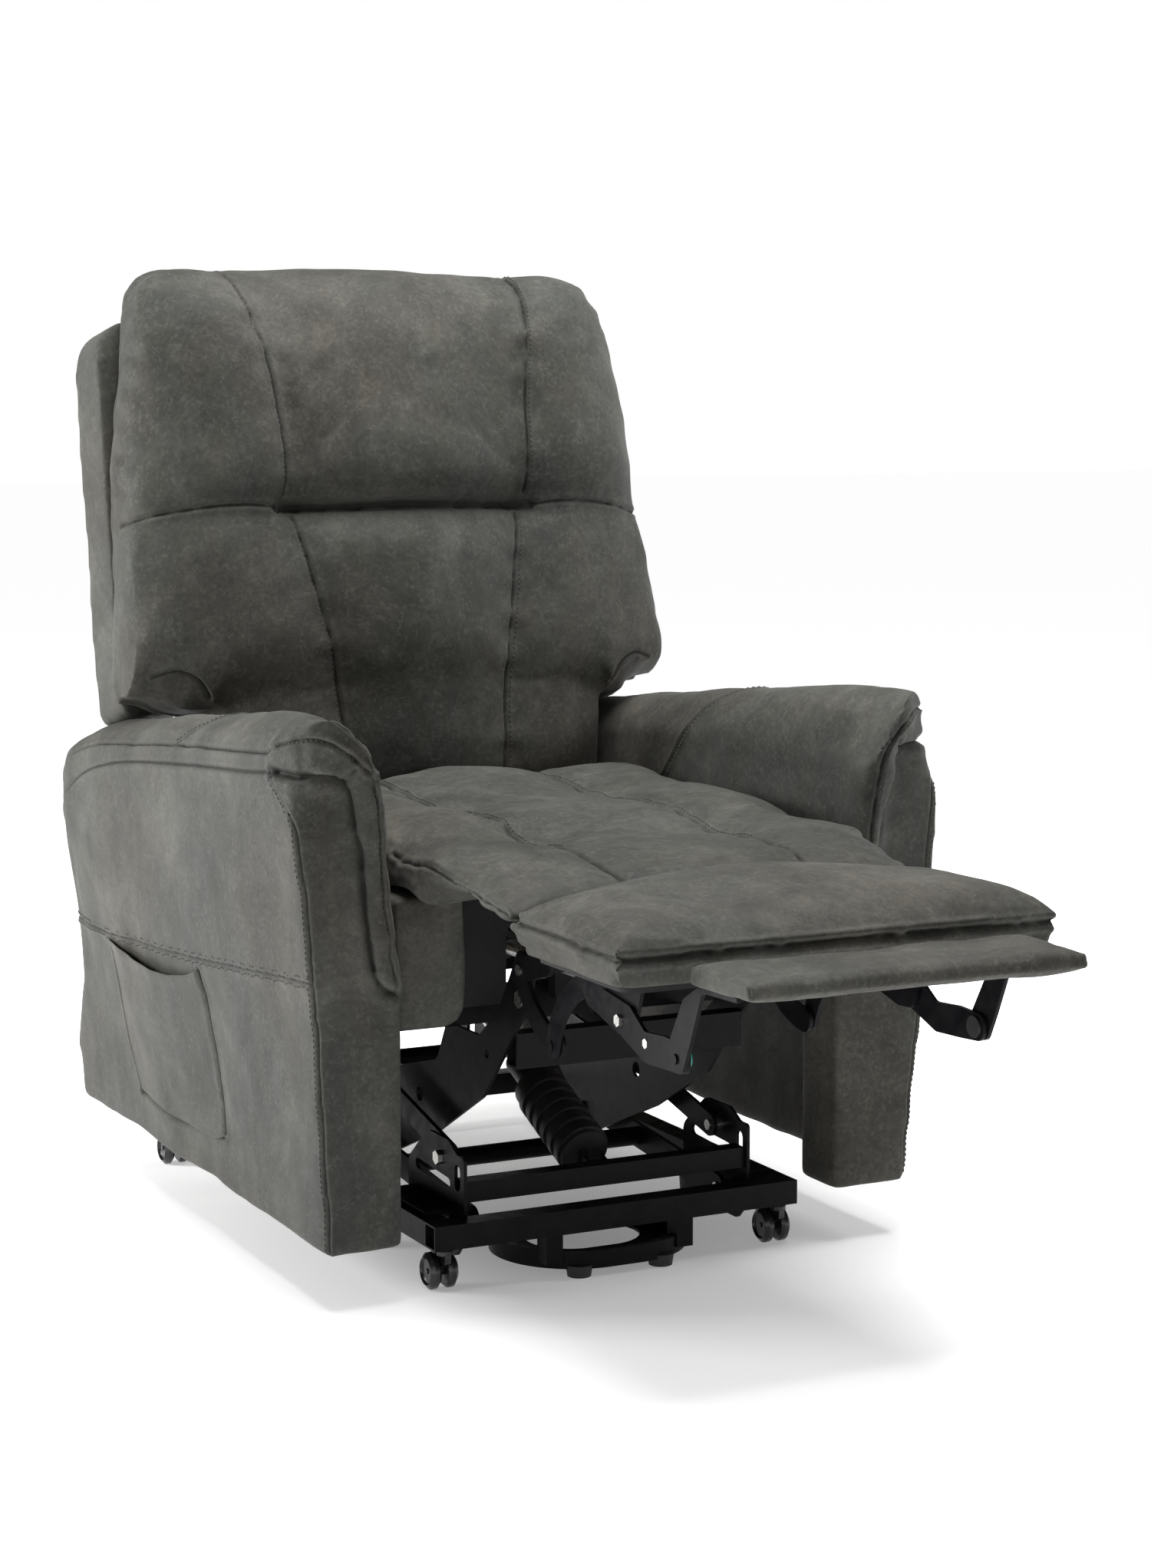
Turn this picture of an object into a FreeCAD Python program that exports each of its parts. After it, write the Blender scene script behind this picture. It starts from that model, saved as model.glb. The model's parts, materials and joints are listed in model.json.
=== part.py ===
import FreeCAD
import Part
import math
import os

V = FreeCAD.Vector

# A lift recliner chair, shown with its legrest out, its back up and its lift down.
# Millimetres. X runs across the chair, Y runs to its rear from the arms' front, Z runs up from the floor.

# Sizes that a buyer would ask for
seat_width = 526.0
arm_bottom_width = 84.0
side_length = 836.0
seat_height = 496.0
floor_gap = 60.0

# Plates, tubes and running clearances
plate = 4.0
link_plate = 5.0
run_gap = 0.3
pin_gap = 0.05
lead_gap = 3.0

# Floor frame
rail_tube = 27.0
castor_wheel_dia = 40.0
castor_height = 48.0
castor_front_x = 205.0
castor_front_y = 28.0
castor_rear_x = 281.0
castor_rear_y = 668.0
front_tube_half = 222.0
side_rail_x = 208.5

# Upright plates at the front of the floor frame
tower_x = 172.0
tower_rear_y = 190.0
tower_top = 150.0
tower_bottom = 26.0
castor_room = 22.0
front_bar_height = 23.0
front_bar_depth = 22.0
front_bar_z = 88.0

# Lift linkage, as places (y, z)
lower_link_foot = (72.0, 62.0)
lower_link_head = (380.0, 90.0)
upper_link_foot = (105.0, 126.0)
upper_link_head = (530.0, 220.0)
lift_pin_r = 6.0
link_width = 30.0

# Lift side plates, which carry the seat
side_plate_x = 136.0
cross_member_y = 5.0
cross_member_z = 260.0
cross_member_height = 38.0
cross_member_depth = 24.0

# Seat box
rail_height = 62.0
rail_thick = 20.0
rail_bottom = 300.0
front_board_y = 112.0
front_board_thick = 18.0
end_block_x = 182.0
end_block_front = 20.0
front_rail_bottom = 287.0
spring_level = 428.0
cushion_thick = 62.0

# Legrest linkage, as places (y, z)
drive_pivot = (-37.0, 354.0)
drive_end = (-127.0, 291.0)
legrest_pivot = (-225.0, 372.0)
arm_bolt = (-300.0, 351.0)
flap_pivot = (-421.0, 337.0)

# Legrest boards and pads
calf_rear = -222.0
calf_front = -442.0
calf_half = 246.0
calf_board_z = 404.0
calf_board_thick = 14.0
flap_rear = -465.0
flap_front = -580.0
flap_half = 185.0
flap_bottom = 414.0
flap_thick = 21.0

# Back, in its own leaning frame: v runs rearwards, w runs up along it
back_lean = 9.4
back_rear_v = 656.0
back_shell_thick = 95.0
back_top_w = 1146.0
wing_w = 674.0
back_bottom_w = 470.0
shell_half = 345.0
shell_low_half = 228.0
cushion_low_half = 256.0
crease_w = 899.0
recline_pivot = (735.0, 470.0)

# Powered legs
lift_motor_foot = (85.0, 104.0)
lift_motor_head = (400.0, 235.0)
recline_motor_foot = (185.0, 318.0)
recline_motor_head = (678.0, 338.0)
legrest_motor_foot = (478.0, 336.0)
legrest_crank = 45.0
legrest_crank_angle = 195.0
torque_reach = 65.0
torque_angle = 165.0
motor_lane = 62.0

# Angles each motion covers
lift_angle = 50.0
recline_angle = 28.0
legrest_angle = 105.0

arm_inner_x = seat_width / 2
arm_outer_x = arm_inner_x + arm_bottom_width
cushion_half = arm_inner_x - 5.0


def box(x0, x1, y0, y1, z0, z1):
    """A block between two corners."""
    return Part.makeBox(x1 - x0, y1 - y0, z1 - z0, V(x0, y0, z0))


def rod(start, end, radius):
    """A round bar between two points."""
    run = end - start
    return Part.makeCylinder(radius, run.Length, start, run)


def cross_rod(place, x0, x1, radius):
    """A round bar that lies across the chair at a place (y, z)."""
    return Part.makeCylinder(radius, x1 - x0, V(x0, place[0], place[1]), V(1, 0, 0))


def mirrored(shape):
    return shape.mirror(V(0, 0, 0), V(1, 0, 0))


def both_sides(shape):
    return Part.makeCompound([shape, mirrored(shape)])


def joined(shapes):
    whole = shapes[0].fuse(shapes[1:])
    return whole.removeSplitter()


def rounded_wire(corners, place):
    """A closed outline through corners (a, b, radius), each rounded by an arc, put in space by place."""
    arcs = {}
    ends = []
    count = len(corners)
    for i, (a, b, radius) in enumerate(corners):
        here = V(a, b, 0)
        before = V(corners[i - 1][0], corners[i - 1][1], 0) - here
        after = V(corners[(i + 1) % count][0], corners[(i + 1) % count][1], 0) - here
        room = 0.48 * min(before.Length, after.Length)
        before.normalize()
        after.normalize()
        half = before.getAngle(after) / 2
        if radius == 0 or half > math.radians(89):
            ends.append((here, here))
            continue
        reach = min(radius / math.tan(half), room)
        radius = reach * math.tan(half)
        middle_line = before + after
        middle_line.normalize()
        centre = here + middle_line * (radius / math.sin(half))
        first = here + before * reach
        last = here + after * reach
        ends.append((first, last))
        crest = centre - middle_line * radius
        arcs[i] = Part.Arc(place(first), place(crest), place(last)).toShape()
    chain = []
    for i in range(count):
        if i in arcs:
            chain.append(arcs[i])
        start = ends[i][1]
        end = ends[(i + 1) % count][0]
        if (end - start).Length > 0.001:
            chain.append(Part.makeLine(place(start), place(end)))
    return Part.Wire(chain)


def slab(corners, x0, x1):
    """A plate of side outline (y, z, radius), from x0 to x1."""
    wire = rounded_wire(corners, lambda p: V(x0, p.x, p.y))
    return Part.Face(wire).extrude(V(x1 - x0, 0, 0))


def stadium(start, end, width, x0, x1):
    """A straight link with round ends, between two places (y, z)."""
    run = V(0, end[0] - start[0], end[1] - start[1])
    side = V(0, -run.z, run.y)
    side.normalize()
    side = side * (width / 2)
    along = V(0, run.y, run.z)
    along.normalize()
    a = V(x0, start[0], start[1])
    b = V(x0, end[0], end[1])
    edges = [
        Part.makeLine(a + side, b + side),
        Part.Arc(b + side, b + along * (width / 2), b - side).toShape(),
        Part.makeLine(b - side, a - side),
        Part.Arc(a - side, a - along * (width / 2), a + side).toShape(),
    ]
    return Part.Face(Part.Wire(edges)).extrude(V(x1 - x0, 0, 0))


def bowed_link(start, end, bow, width, x0, x1):
    """A crescent link: its middle line is an arc that stands off the straight line by bow."""
    a = V(x0, start[0], start[1])
    b = V(x0, end[0], end[1])
    chord = b - a
    out = V(0, chord.z, -chord.y)
    out.normalize()
    middle = (a + b) * 0.5
    radius = (chord.Length ** 2 / 4 + bow ** 2) / (2 * abs(bow))
    centre = middle + out * (bow - math.copysign(radius, bow))
    edges = []

    def point(reach, toward):
        ray = toward - centre
        ray.normalize()
        return centre + ray * reach

    crest = middle + out * bow
    outer = radius + width / 2
    inner = radius - width / 2
    tangent_a = (a - centre).cross(V(1, 0, 0))
    tangent_b = (b - centre).cross(V(1, 0, 0))
    for tangent, other in ((tangent_a, b - a), (tangent_b, a - b)):
        tangent.normalize()
        if tangent.dot(other) > 0:
            tangent.multiply(-1)
    edges.append(Part.Arc(point(outer, a), point(outer, crest), point(outer, b)).toShape())
    edges.append(Part.Arc(point(outer, b), b + tangent_b * (width / 2), point(inner, b)).toShape())
    edges.append(Part.Arc(point(inner, b), point(inner, crest), point(inner, a)).toShape())
    edges.append(Part.Arc(point(inner, a), a + tangent_a * (width / 2), point(outer, a)).toShape())
    return Part.Face(Part.Wire(edges)).extrude(V(x1 - x0, 0, 0))


def square_tube(x0, x1, y0, y1, z0, z1, axis, wall=2.0):
    """A welded box-section tube, open at both ends along its axis."""
    skin = {"x": (0, wall, wall), "y": (wall, 0, wall), "z": (wall, wall, 0)}[axis]
    core = box(x0 + skin[0], x1 - skin[0], y0 + skin[1], y1 - skin[1], z0 + skin[2], z1 - skin[2])
    return box(x0, x1, y0, y1, z0, z1).cut(core)


def hex_head(place, x0, x1, across):
    """A bolt head across the chair at a place (y, z)."""
    corners = []
    for turn in range(6):
        angle = math.radians(60 * turn + 30)
        reach = across / math.sqrt(3)
        corners.append((place[0] + reach * math.cos(angle), place[1] + reach * math.sin(angle), 0))
    return slab(corners, x0, x1)


def turned(place, centre, degrees):
    """A place (y, z) turned about a centre, positive from the rear towards the top."""
    angle = math.radians(degrees)
    y = place[0] - centre[0]
    z = place[1] - centre[1]
    cos = math.cos(angle)
    sin = math.sin(angle)
    return (centre[0] + y * cos - z * sin, centre[1] + y * sin + z * cos)


def bearing(start, end):
    """The angle of the line from start to end, in degrees from the rear towards the top."""
    return math.degrees(math.atan2(end[1] - start[1], end[0] - start[0]))


def span(start, end):
    return math.hypot(end[0] - start[0], end[1] - start[1])


def back_place(x, v, w):
    """A point given across the back, rearwards and up along its lean."""
    angle = math.radians(back_lean)
    y = v * math.cos(angle) + w * math.sin(angle)
    z = w * math.cos(angle) - v * math.sin(angle)
    return V(x, y, z)


# Floor frame

tube_bottom = castor_height
tube_top = castor_height + rail_tube
front_tube_y0 = castor_front_y - rail_tube / 2
front_tube_y1 = castor_front_y + rail_tube / 2
rear_tube_y0 = castor_rear_y - rail_tube / 2
rear_tube_y1 = castor_rear_y + rail_tube / 2
rear_tube_half = castor_rear_x + 19.0
tower_front_y = front_tube_y1
front_bar_y = tower_front_y + 5.0


def front_tube():
    return square_tube(-front_tube_half, front_tube_half, front_tube_y0, front_tube_y1,
                       tube_bottom, tube_top, "x")


def rear_tube():
    return square_tube(-rear_tube_half, rear_tube_half, rear_tube_y0, rear_tube_y1,
                       tube_bottom, tube_top, "x")


def side_rails():
    x0 = side_rail_x - rail_tube / 2
    rail = square_tube(x0, x0 + rail_tube, front_tube_y1, rear_tube_y0, tube_bottom, tube_top, "y")
    return both_sides(rail)


def rail_feet():
    """A round rubber foot under each side rail."""
    y = castor_front_y + 205.0
    foot = Part.makeCone(14, 17, tube_bottom, V(side_rail_x, y, 0), V(0, 0, 1))
    return both_sides(foot)


def towers():
    """The upright plates that carry the lift links, with their slot, oval hole and foot flange."""
    x1 = tower_x + plate
    outline = [
        (tower_front_y, castor_height, 3), (tower_front_y + castor_room, tower_bottom, 8),
        (tower_rear_y - 20, tower_bottom, 10),
        (tower_rear_y, tower_bottom + 26, 14), (tower_rear_y, tower_top - 42, 18),
        (tower_rear_y - 52, tower_top, 22), (tower_front_y + 40, tower_top, 14),
        (tower_front_y + 18, tower_top - 12, 10), (tower_front_y, tower_top - 12, 5),
    ]
    web = slab(outline, tower_x, x1)
    slot = stadium((tower_front_y + 42, tower_top - 48), (tower_rear_y - 26, tower_top - 44), 12,
                   tower_x - 1, x1 + 1)
    oval = stadium((tower_front_y + 17, tower_top - 44), (tower_front_y + 17, tower_top - 30), 15,
                   tower_x - 1, x1 + 1)
    flange = box(tower_x, side_rail_x + 4, tower_front_y + 20, tower_rear_y - 12, tube_top, tube_top + plate)
    whole = web.cut(slot).cut(oval).fuse(flange).removeSplitter()
    return both_sides(whole)


def front_bar():
    """The flat box bar that ties the two towers together."""
    return square_tube(-tower_x, tower_x, front_bar_y, front_bar_y + front_bar_depth,
                       front_bar_z, front_bar_z + front_bar_height, "x")


def tower_pins():
    """Zinc pins that stand inwards from the towers and carry the lift links."""
    pins = []
    for place, reach in ((lower_link_foot, lower_link_x), (upper_link_foot, upper_link_x)):
        pin = cross_rod(place, reach - 2, tower_x, lift_pin_r)
        collar = cross_rod(place, reach + link_plate + run_gap, tower_x, lift_pin_r + 2.5)
        pins.append(joined([pin, collar]))
    return both_sides(Part.makeCompound(pins))


def tower_bolts():
    """Hexagon bolt heads on the towers' outer faces."""
    x0 = tower_x + plate
    heads = [hex_head(lower_link_foot, x0, x0 + 5, 14), hex_head(upper_link_foot, x0, x0 + 5, 14)]
    return both_sides(Part.makeCompound(heads))


loop_half = 112.0
loop_front = 4.0
loop_rear = 190.0
loop_bottom = 9.0
loop_height = 20.0
loop_wall = 9.0
tray_thick = 3.0
pad_half = 50.0


def stadium_prism(half, y0, y1, inset, z0, z1):
    """A prism whose plan is a bar with round ends, pulled in by inset."""
    radius = (y1 - y0) / 2 - inset
    middle = (y0 + y1) / 2
    straight = half - (y1 - y0) / 2
    edges = [
        Part.makeLine(V(-straight, middle - radius, z0), V(straight, middle - radius, z0)),
        Part.Arc(V(straight, middle - radius, z0), V(straight + radius, middle, z0),
                 V(straight, middle + radius, z0)).toShape(),
        Part.makeLine(V(straight, middle + radius, z0), V(-straight, middle + radius, z0)),
        Part.Arc(V(-straight, middle + radius, z0), V(-straight - radius, middle, z0),
                 V(-straight, middle - radius, z0)).toShape(),
    ]
    return Part.Face(Part.Wire(edges)).extrude(V(0, 0, z1 - z0))


def floor_loop():
    """The round-ended steadying loop low at the front, with a thin pan inside its rim and two hangers."""
    top = loop_bottom + loop_height
    rim = stadium_prism(loop_half, loop_front, loop_rear, 0, loop_bottom, top)
    rim = rim.cut(stadium_prism(loop_half, loop_front, loop_rear, loop_wall, loop_bottom - 1, top + 1))
    pan = stadium_prism(loop_half, loop_front, loop_rear, loop_wall - 1, loop_bottom + 4,
                        loop_bottom + 4 + tray_thick)
    pan = pan.cut(stadium_prism(loop_half - 46, loop_front + 56, loop_rear - 30, 0, loop_bottom, top))
    hanger = box(70, 90, front_tube_y0 + 2, front_tube_y1 - 2, loop_bottom + 4 + tray_thick, tube_bottom)
    return joined([rim, pan, hanger, mirrored(hanger)])


def loop_pads():
    """Two rubber pads under the loop's front run, which touch the floor."""
    middle = loop_front + loop_wall / 2 + 9
    pad = Part.makeCone(13, 15, loop_bottom + 4, V(pad_half, middle, 0), V(0, 0, 1))
    pad = pad.cut(stadium_prism(loop_half, loop_front, loop_rear, 0, loop_bottom, loop_bottom + 30))
    return both_sides(pad)


# Castors

def castor_fork(x, y, trail):
    """A hooded castor body with its stem nut and axle, trailing rearwards by trail."""
    wheel_r = castor_wheel_dia / 2
    axle_z = wheel_r
    hood_r = wheel_r + 2.0
    hood_outline = [
        (y + trail - hood_r * 0.2, axle_z + 2, 2), (y + trail + hood_r * 0.9, axle_z + 2, 2),
        (y + trail + hood_r * 0.8, axle_z + hood_r * 0.7, 8), (y + trail, axle_z + hood_r + 2, 8),
        (y - 9, axle_z + hood_r + 2, 5), (y - 9, axle_z + hood_r - 10, 4),
    ]
    body = slab(hood_outline, x - 3.5, x + 3.5)
    head = Part.makeCylinder(9, 4.5, V(x, y, axle_z + hood_r - 1.5), V(0, 0, 1))
    nut = Part.makeCylinder(6.5, castor_height - axle_z - hood_r - 3 - run_gap,
                            V(x, y, axle_z + hood_r + 3), V(0, 0, 1))
    axle = cross_rod((y + trail, axle_z), x - 15, x + 15, 3.0)
    boss = cross_rod((y + trail, axle_z), x - 3.5, x + 3.5, 6.0)
    return joined([body, head, nut, axle, boss])


def castor_wheels(x, y, trail):
    """Twin wheels on one axle, with rounded treads."""
    wheel_r = castor_wheel_dia / 2
    gap = 3.5 + run_gap + 0.4
    width = 12.0
    place = V(x + gap, y + trail, wheel_r)
    ring = [
        V(0, 3.0 + pin_gap, 0), V(0, wheel_r - 3, 0), V(3, wheel_r, 0), V(width - 4, wheel_r, 0),
        V(width, wheel_r - 5, 0), V(width - 2.5, wheel_r - 7, 0), V(width - 2.5, 3.0 + pin_gap, 0),
    ]
    points = [place + V(p.x, 0, p.y) for p in ring]
    face = Part.Face(Part.makePolygon(points + [points[0]]))
    wheel = face.revolve(place, V(1, 0, 0), 360)
    twin = wheel.mirror(V(x, 0, 0), V(1, 0, 0))
    return Part.makeCompound([wheel, twin])


# Lift linkage

lower_link_x = side_plate_x + plate + 10.0
upper_link_x = lower_link_x + link_plate + 3.0


def lower_links():
    """The two long lower links, joined near their heads by a round cross tube."""
    x1 = lower_link_x + link_plate
    bar = stadium(lower_link_foot, lower_link_head, link_width, lower_link_x, x1)
    foot = cross_rod(lower_link_foot, lower_link_x - 1, x1 + 1, lift_pin_r + pin_gap)
    head = cross_rod(lower_link_head, lower_link_x - 1, x1 + 1, lift_pin_r + pin_gap)
    bar = bar.cut(foot).cut(head)
    tie_place = link_tie_place()
    tie = cross_rod(tie_place, -lower_link_x, lower_link_x, 11.0)
    return joined([bar, mirrored(bar), tie])


def link_tie_place():
    """The cross tube lies beyond the middle of the lower links, clear of the lift motor."""
    share = 0.62
    y = lower_link_foot[0] + share * (lower_link_head[0] - lower_link_foot[0])
    z = lower_link_foot[1] + share * (lower_link_head[1] - lower_link_foot[1])
    return (y, z)


upper_head_gap = 2.2


def upper_links():
    """The two upper links. Their head holes are wide, because the linkage is opened there."""
    x1 = upper_link_x + link_plate
    bar = stadium(upper_link_foot, upper_link_head, link_width - 4, upper_link_x, x1)
    foot = cross_rod(upper_link_foot, upper_link_x - 1, x1 + 1, lift_pin_r + pin_gap)
    head = cross_rod(upper_link_head, upper_link_x - 1, x1 + 1, lift_pin_r + upper_head_gap)
    return both_sides(bar.cut(foot).cut(head))


def lift_side_plates():
    """The knee-shaped plates that the links raise and that carry the whole seat."""
    ly, lz = lower_link_head
    uy, uz = upper_link_head
    dy, dz = drive_pivot
    outline = [
        (dy - 19, dz - 2, 10), (dy - 7, dz - 36, 12), (dy + 45, dz - 92, 20), (dy + 107, dz - 158, 30),
        (190, 132, 30), (ly - 28, lz - 24, 20), (ly + 22, lz - 26, 16), (ly + 30, lz + 14, 16),
        (ly + 90, lz + 60, 20), (uy + 22, uz - 20, 16), (uy + 22, uz + 22, 14), (uy - 25, uz + 22, 12),
        (400, 200, 30), (300, 186, 30), (front_bar_seat_y + 42, 214, 16),
        (front_bar_seat_y + 15, seat_bar_bottom, 5), (front_bar_seat_y - 15, seat_bar_bottom, 5),
        (front_bar_seat_y - 70, seat_bar_bottom, 12), (dy + 67, dz - 54, 20), (dy + 39, dz - 14, 14),
        (dy + 19, dz + 18, 12), (dy - 13, dz + 18, 10),
    ]
    x1 = side_plate_x + plate
    web = slab(outline, side_plate_x, x1)
    holes = [cross_rod((240, 165), side_plate_x - 1, x1 + 1, 9), cross_rod((60, 245), side_plate_x - 1, x1 + 1, 5)]
    for hole in holes:
        web = web.cut(hole)
    return both_sides(web)


def side_plate_pins():
    """Pins that stand outwards from the side plates through the links and the drive links."""
    root = side_plate_x + plate
    low = cross_rod(lower_link_head, root, lower_link_x + link_plate + 2, lift_pin_r)
    low_collar = cross_rod(lower_link_head, root, lower_link_x - run_gap, lift_pin_r + 4)
    high = cross_rod(upper_link_head, root, upper_link_x + link_plate + 4, lift_pin_r)
    high_collar = cross_rod(upper_link_head, root, upper_link_x - run_gap, lift_pin_r + 4)
    drive = cross_rod(drive_pivot, root, drive_x + link_plate + 1.5, lift_pin_r)
    return both_sides(Part.makeCompound([joined([low, low_collar]), joined([high, high_collar]), drive]))


def mechanism_bolts():
    """Zinc bolt heads on the side plates."""
    x0 = side_plate_x - 5
    bolt = (drive_pivot[0] + 14, drive_pivot[1] - 34)
    x1 = side_plate_x + plate
    heads = [hex_head(bolt, x1, x1 + 2.4, 17), hex_head(drive_pivot, x0, side_plate_x, 15),
             hex_head(lower_link_head, x0, side_plate_x, 15), hex_head(upper_link_head, x0, side_plate_x, 15)]
    return both_sides(Part.makeCompound(heads))


def lift_cross_member():
    """The deep box bar between the side plates, under the front of the seat."""
    y0 = cross_member_y - cross_member_depth / 2
    z0 = cross_member_z - cross_member_height / 2
    return square_tube(-side_plate_x, side_plate_x, y0, y0 + cross_member_depth, z0,
                       z0 + cross_member_height, "x", 2.5)


def lift_drive_tube():
    """The round tube and its two lugs that the lift motor pushes on."""
    tube = cross_rod(lift_tube_place, -side_plate_x, side_plate_x, 12.0)
    lug = stadium(lift_tube_place, lift_motor_head, 28, 9.0 + run_gap, 13.5)
    bolt = hex_head(lift_motor_head, 13.5, 18, 14)
    lug = lug.fuse(bolt)
    return joined([tube, lug, mirrored(lug)])


lift_tube_place = (404.0, 168.0)
seat_bar_bottom = 262.0
front_bar_seat_y = 150.0
rear_bar_seat_y = 523.0
drive_x = side_plate_x + plate + 3.0
crescent_x = drive_x + link_plate + 2.0
bracket_x = crescent_x + link_plate + 2.0
leg_arm_x = bracket_x + plate + 0.5
flap_arm_x = leg_arm_x + plate + 1.0


# Seat box

def seat_cross_bars():
    """Two box bars that lie across the side plates and carry the seat's side rails."""
    half = arm_inner_x - 6
    front = square_tube(-half, half, front_bar_seat_y - 13, front_bar_seat_y + 13, seat_bar_bottom,
                        rail_bottom, "x")
    rear = square_tube(-half, half, rear_bar_seat_y - 13, rear_bar_seat_y + 13, upper_link_head[1] + 22,
                       rail_bottom, "x")
    return front, rear


rail_x1 = arm_inner_x - run_gap
rail_x0 = rail_x1 - rail_thick
rail_rear = recline_pivot[0] + 22.0
rail_front = front_board_y + front_board_thick
rail_top = rail_bottom + rail_height


def seat_side_rails():
    """Wooden side rails of the seat box."""
    return both_sides(box(rail_x0, rail_x1, rail_front, rail_rear, rail_bottom, rail_top))


def front_rail():
    """The front board of the seat box, with padded blocks at its ends and a notch for the legrest motor."""
    board = box(-rail_x1, rail_x1, front_board_y, rail_front, front_rail_bottom, spring_level)
    notch = stadium((0, 0), (0, 60), 60, 0, front_board_thick + 2)
    notch.rotate(V(0, 0, 0), V(0, 0, 1), 90)
    notch.translate(V(-motor_lane, front_board_y - 1, front_rail_bottom + 10))
    board = board.cut(notch)
    opening = box(-motor_lane - 30, -motor_lane + 30, front_board_y - 1, rail_front + 1,
                  front_rail_bottom - 1, front_rail_bottom + 40)
    return board.cut(opening)


def front_rail_pads():
    """Upholstered blocks at the two ends of the front rail, rounded at the lower inner corner."""
    x1 = rail_x1
    corners = [(end_block_x, front_rail_bottom, 26), (x1, front_rail_bottom, 4), (x1, spring_level, 4),
               (end_block_x, spring_level, 10)]
    wire = rounded_wire(corners, lambda p: V(p.x, end_block_front, p.y))
    block = Part.Face(wire).extrude(V(0, front_board_y - end_block_front, 0))
    return both_sides(block)


def rear_rail():
    """The rear board of the seat box."""
    half = rail_x0 - plate
    return box(-half, half, rail_rear - 45, rail_rear - 25, rail_bottom, rail_bottom + 36)


spring_rail_y = 486.0
spring_rail_thick = 20.0
spring_wire = 4.0
spring_pitch = 30.0
spring_swing = 20.0
spring_count = 4
spring_gap = 100.0


def spring_rail():
    """The board that holds the springs' rear ends, on two posts that stand on the rear cross bar."""
    top = spring_level
    rail = box(-rail_x0 + 2, rail_x0 - 2, spring_rail_y, spring_rail_y + spring_rail_thick, top - 40, top)
    rail = rail.cut(box(-rail_x0, rail_x0, spring_rail_y + 10, spring_rail_y + 40, top - 60, top - 5))
    end = box(rail_x0 - 20, rail_x0, spring_rail_y - 40, spring_rail_y, rail_bottom, top)
    return joined([rail, end, mirrored(end)])


def zigzag_spring(x):
    """One flat zigzag spring: half loops of wire, left and right in turn."""
    y = rail_front
    radius = spring_pitch / 2
    side = 1
    edges_out = []
    edges_back = []
    z = spring_level
    half = spring_wire / 2
    first = V(x + spring_swing, y, z)
    edges_out.append(Part.makeLine(V(x - spring_swing, y + half, z), V(x + spring_swing, y + half, z)))
    edges_back.append(Part.makeLine(V(x - spring_swing, y - half, z), V(x + spring_swing, y - half, z)))
    y = first.y
    turns = int((spring_rail_y - y) / spring_pitch)
    for turn in range(turns):
        cx = x + side * spring_swing
        inner = radius - half
        outer = radius + half
        middle = y + radius
        near_r, far_r = (inner, outer) if side > 0 else (outer, inner)
        for edges, reach in ((edges_out, near_r), (edges_back, far_r)):
            edges.append(Part.Arc(V(cx, middle - reach, z), V(cx + side * reach, middle, z),
                                  V(cx, middle + reach, z)).toShape())
        y += spring_pitch
        next_x = x - side * spring_swing
        edges_out.append(Part.makeLine(V(cx, y - side * half, z), V(next_x, y - side * half, z)))
        edges_back.append(Part.makeLine(V(cx, y + side * half, z), V(next_x, y + side * half, z)))
        side = -side
    end_x = x + side * spring_swing
    caps = [Part.makeLine(V(x - spring_swing, first.y - half, z), V(x - spring_swing, first.y + half, z)),
            Part.makeLine(V(end_x, y - half, z), V(end_x, y + half, z))]
    wire = Part.Wire(Part.__sortEdges__(edges_out + edges_back + caps))
    return Part.Face(wire).extrude(V(0, 0, spring_wire))


def seat_springs():
    first = -spring_gap * (spring_count - 1) / 2
    return Part.makeCompound([zigzag_spring(first + i * spring_gap) for i in range(spring_count)])


# Soft sections

def arc_chain(points):
    """Edges through alternate ends and crests: end, crest, end, crest, end."""
    edges = []
    for i in range(0, len(points) - 2, 2):
        edges.append(Part.Arc(points[i], points[i + 1], points[i + 2]).toShape())
    return edges


def padded_section(place, half, low, edge, seams, crowns, bulge):
    """A cushion's cross section: flat below, bulging at the sides, with a crown between its seams.

    place puts (across, up) in space. low and edge are the levels of the base and of the side seam.
    seams lists (across, up) of the sewn channels, from one side to the other. crowns holds the level
    of each crown between them.
    """
    stops = [(half, edge)] + seams + [(-half, edge)]
    top = [place(*stops[0])]
    for i, crown in enumerate(crowns):
        a = stops[i]
        b = stops[i + 1]
        top.append(place((a[0] + b[0]) / 2, crown))
        top.append(place(*b))
    edges = arc_chain(top)
    middle = (low + edge) / 2
    base = half - bulge
    left = [place(-half, edge), place(-half - bulge * 0.4, middle), place(-base, low)]
    right = [place(base, low), place(half + bulge * 0.4, middle), place(half, edge)]
    edges += arc_chain(left)
    edges.append(Part.makeLine(place(-base, low), place(base, low)))
    edges += arc_chain(right)
    return Part.Wire(edges)


def lofted(wires):
    return Part.makeLoft(wires, True, False)


seat_seam_x = 110.0
seat_front = -62.0
seat_rear = 503.0
cushion_base = spring_level + spring_wire


def back_sweep():
    """How far the back's lower front may reach from the recline pivot as it turns."""
    return recline_pivot[0] - seat_rear - 5.0


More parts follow.
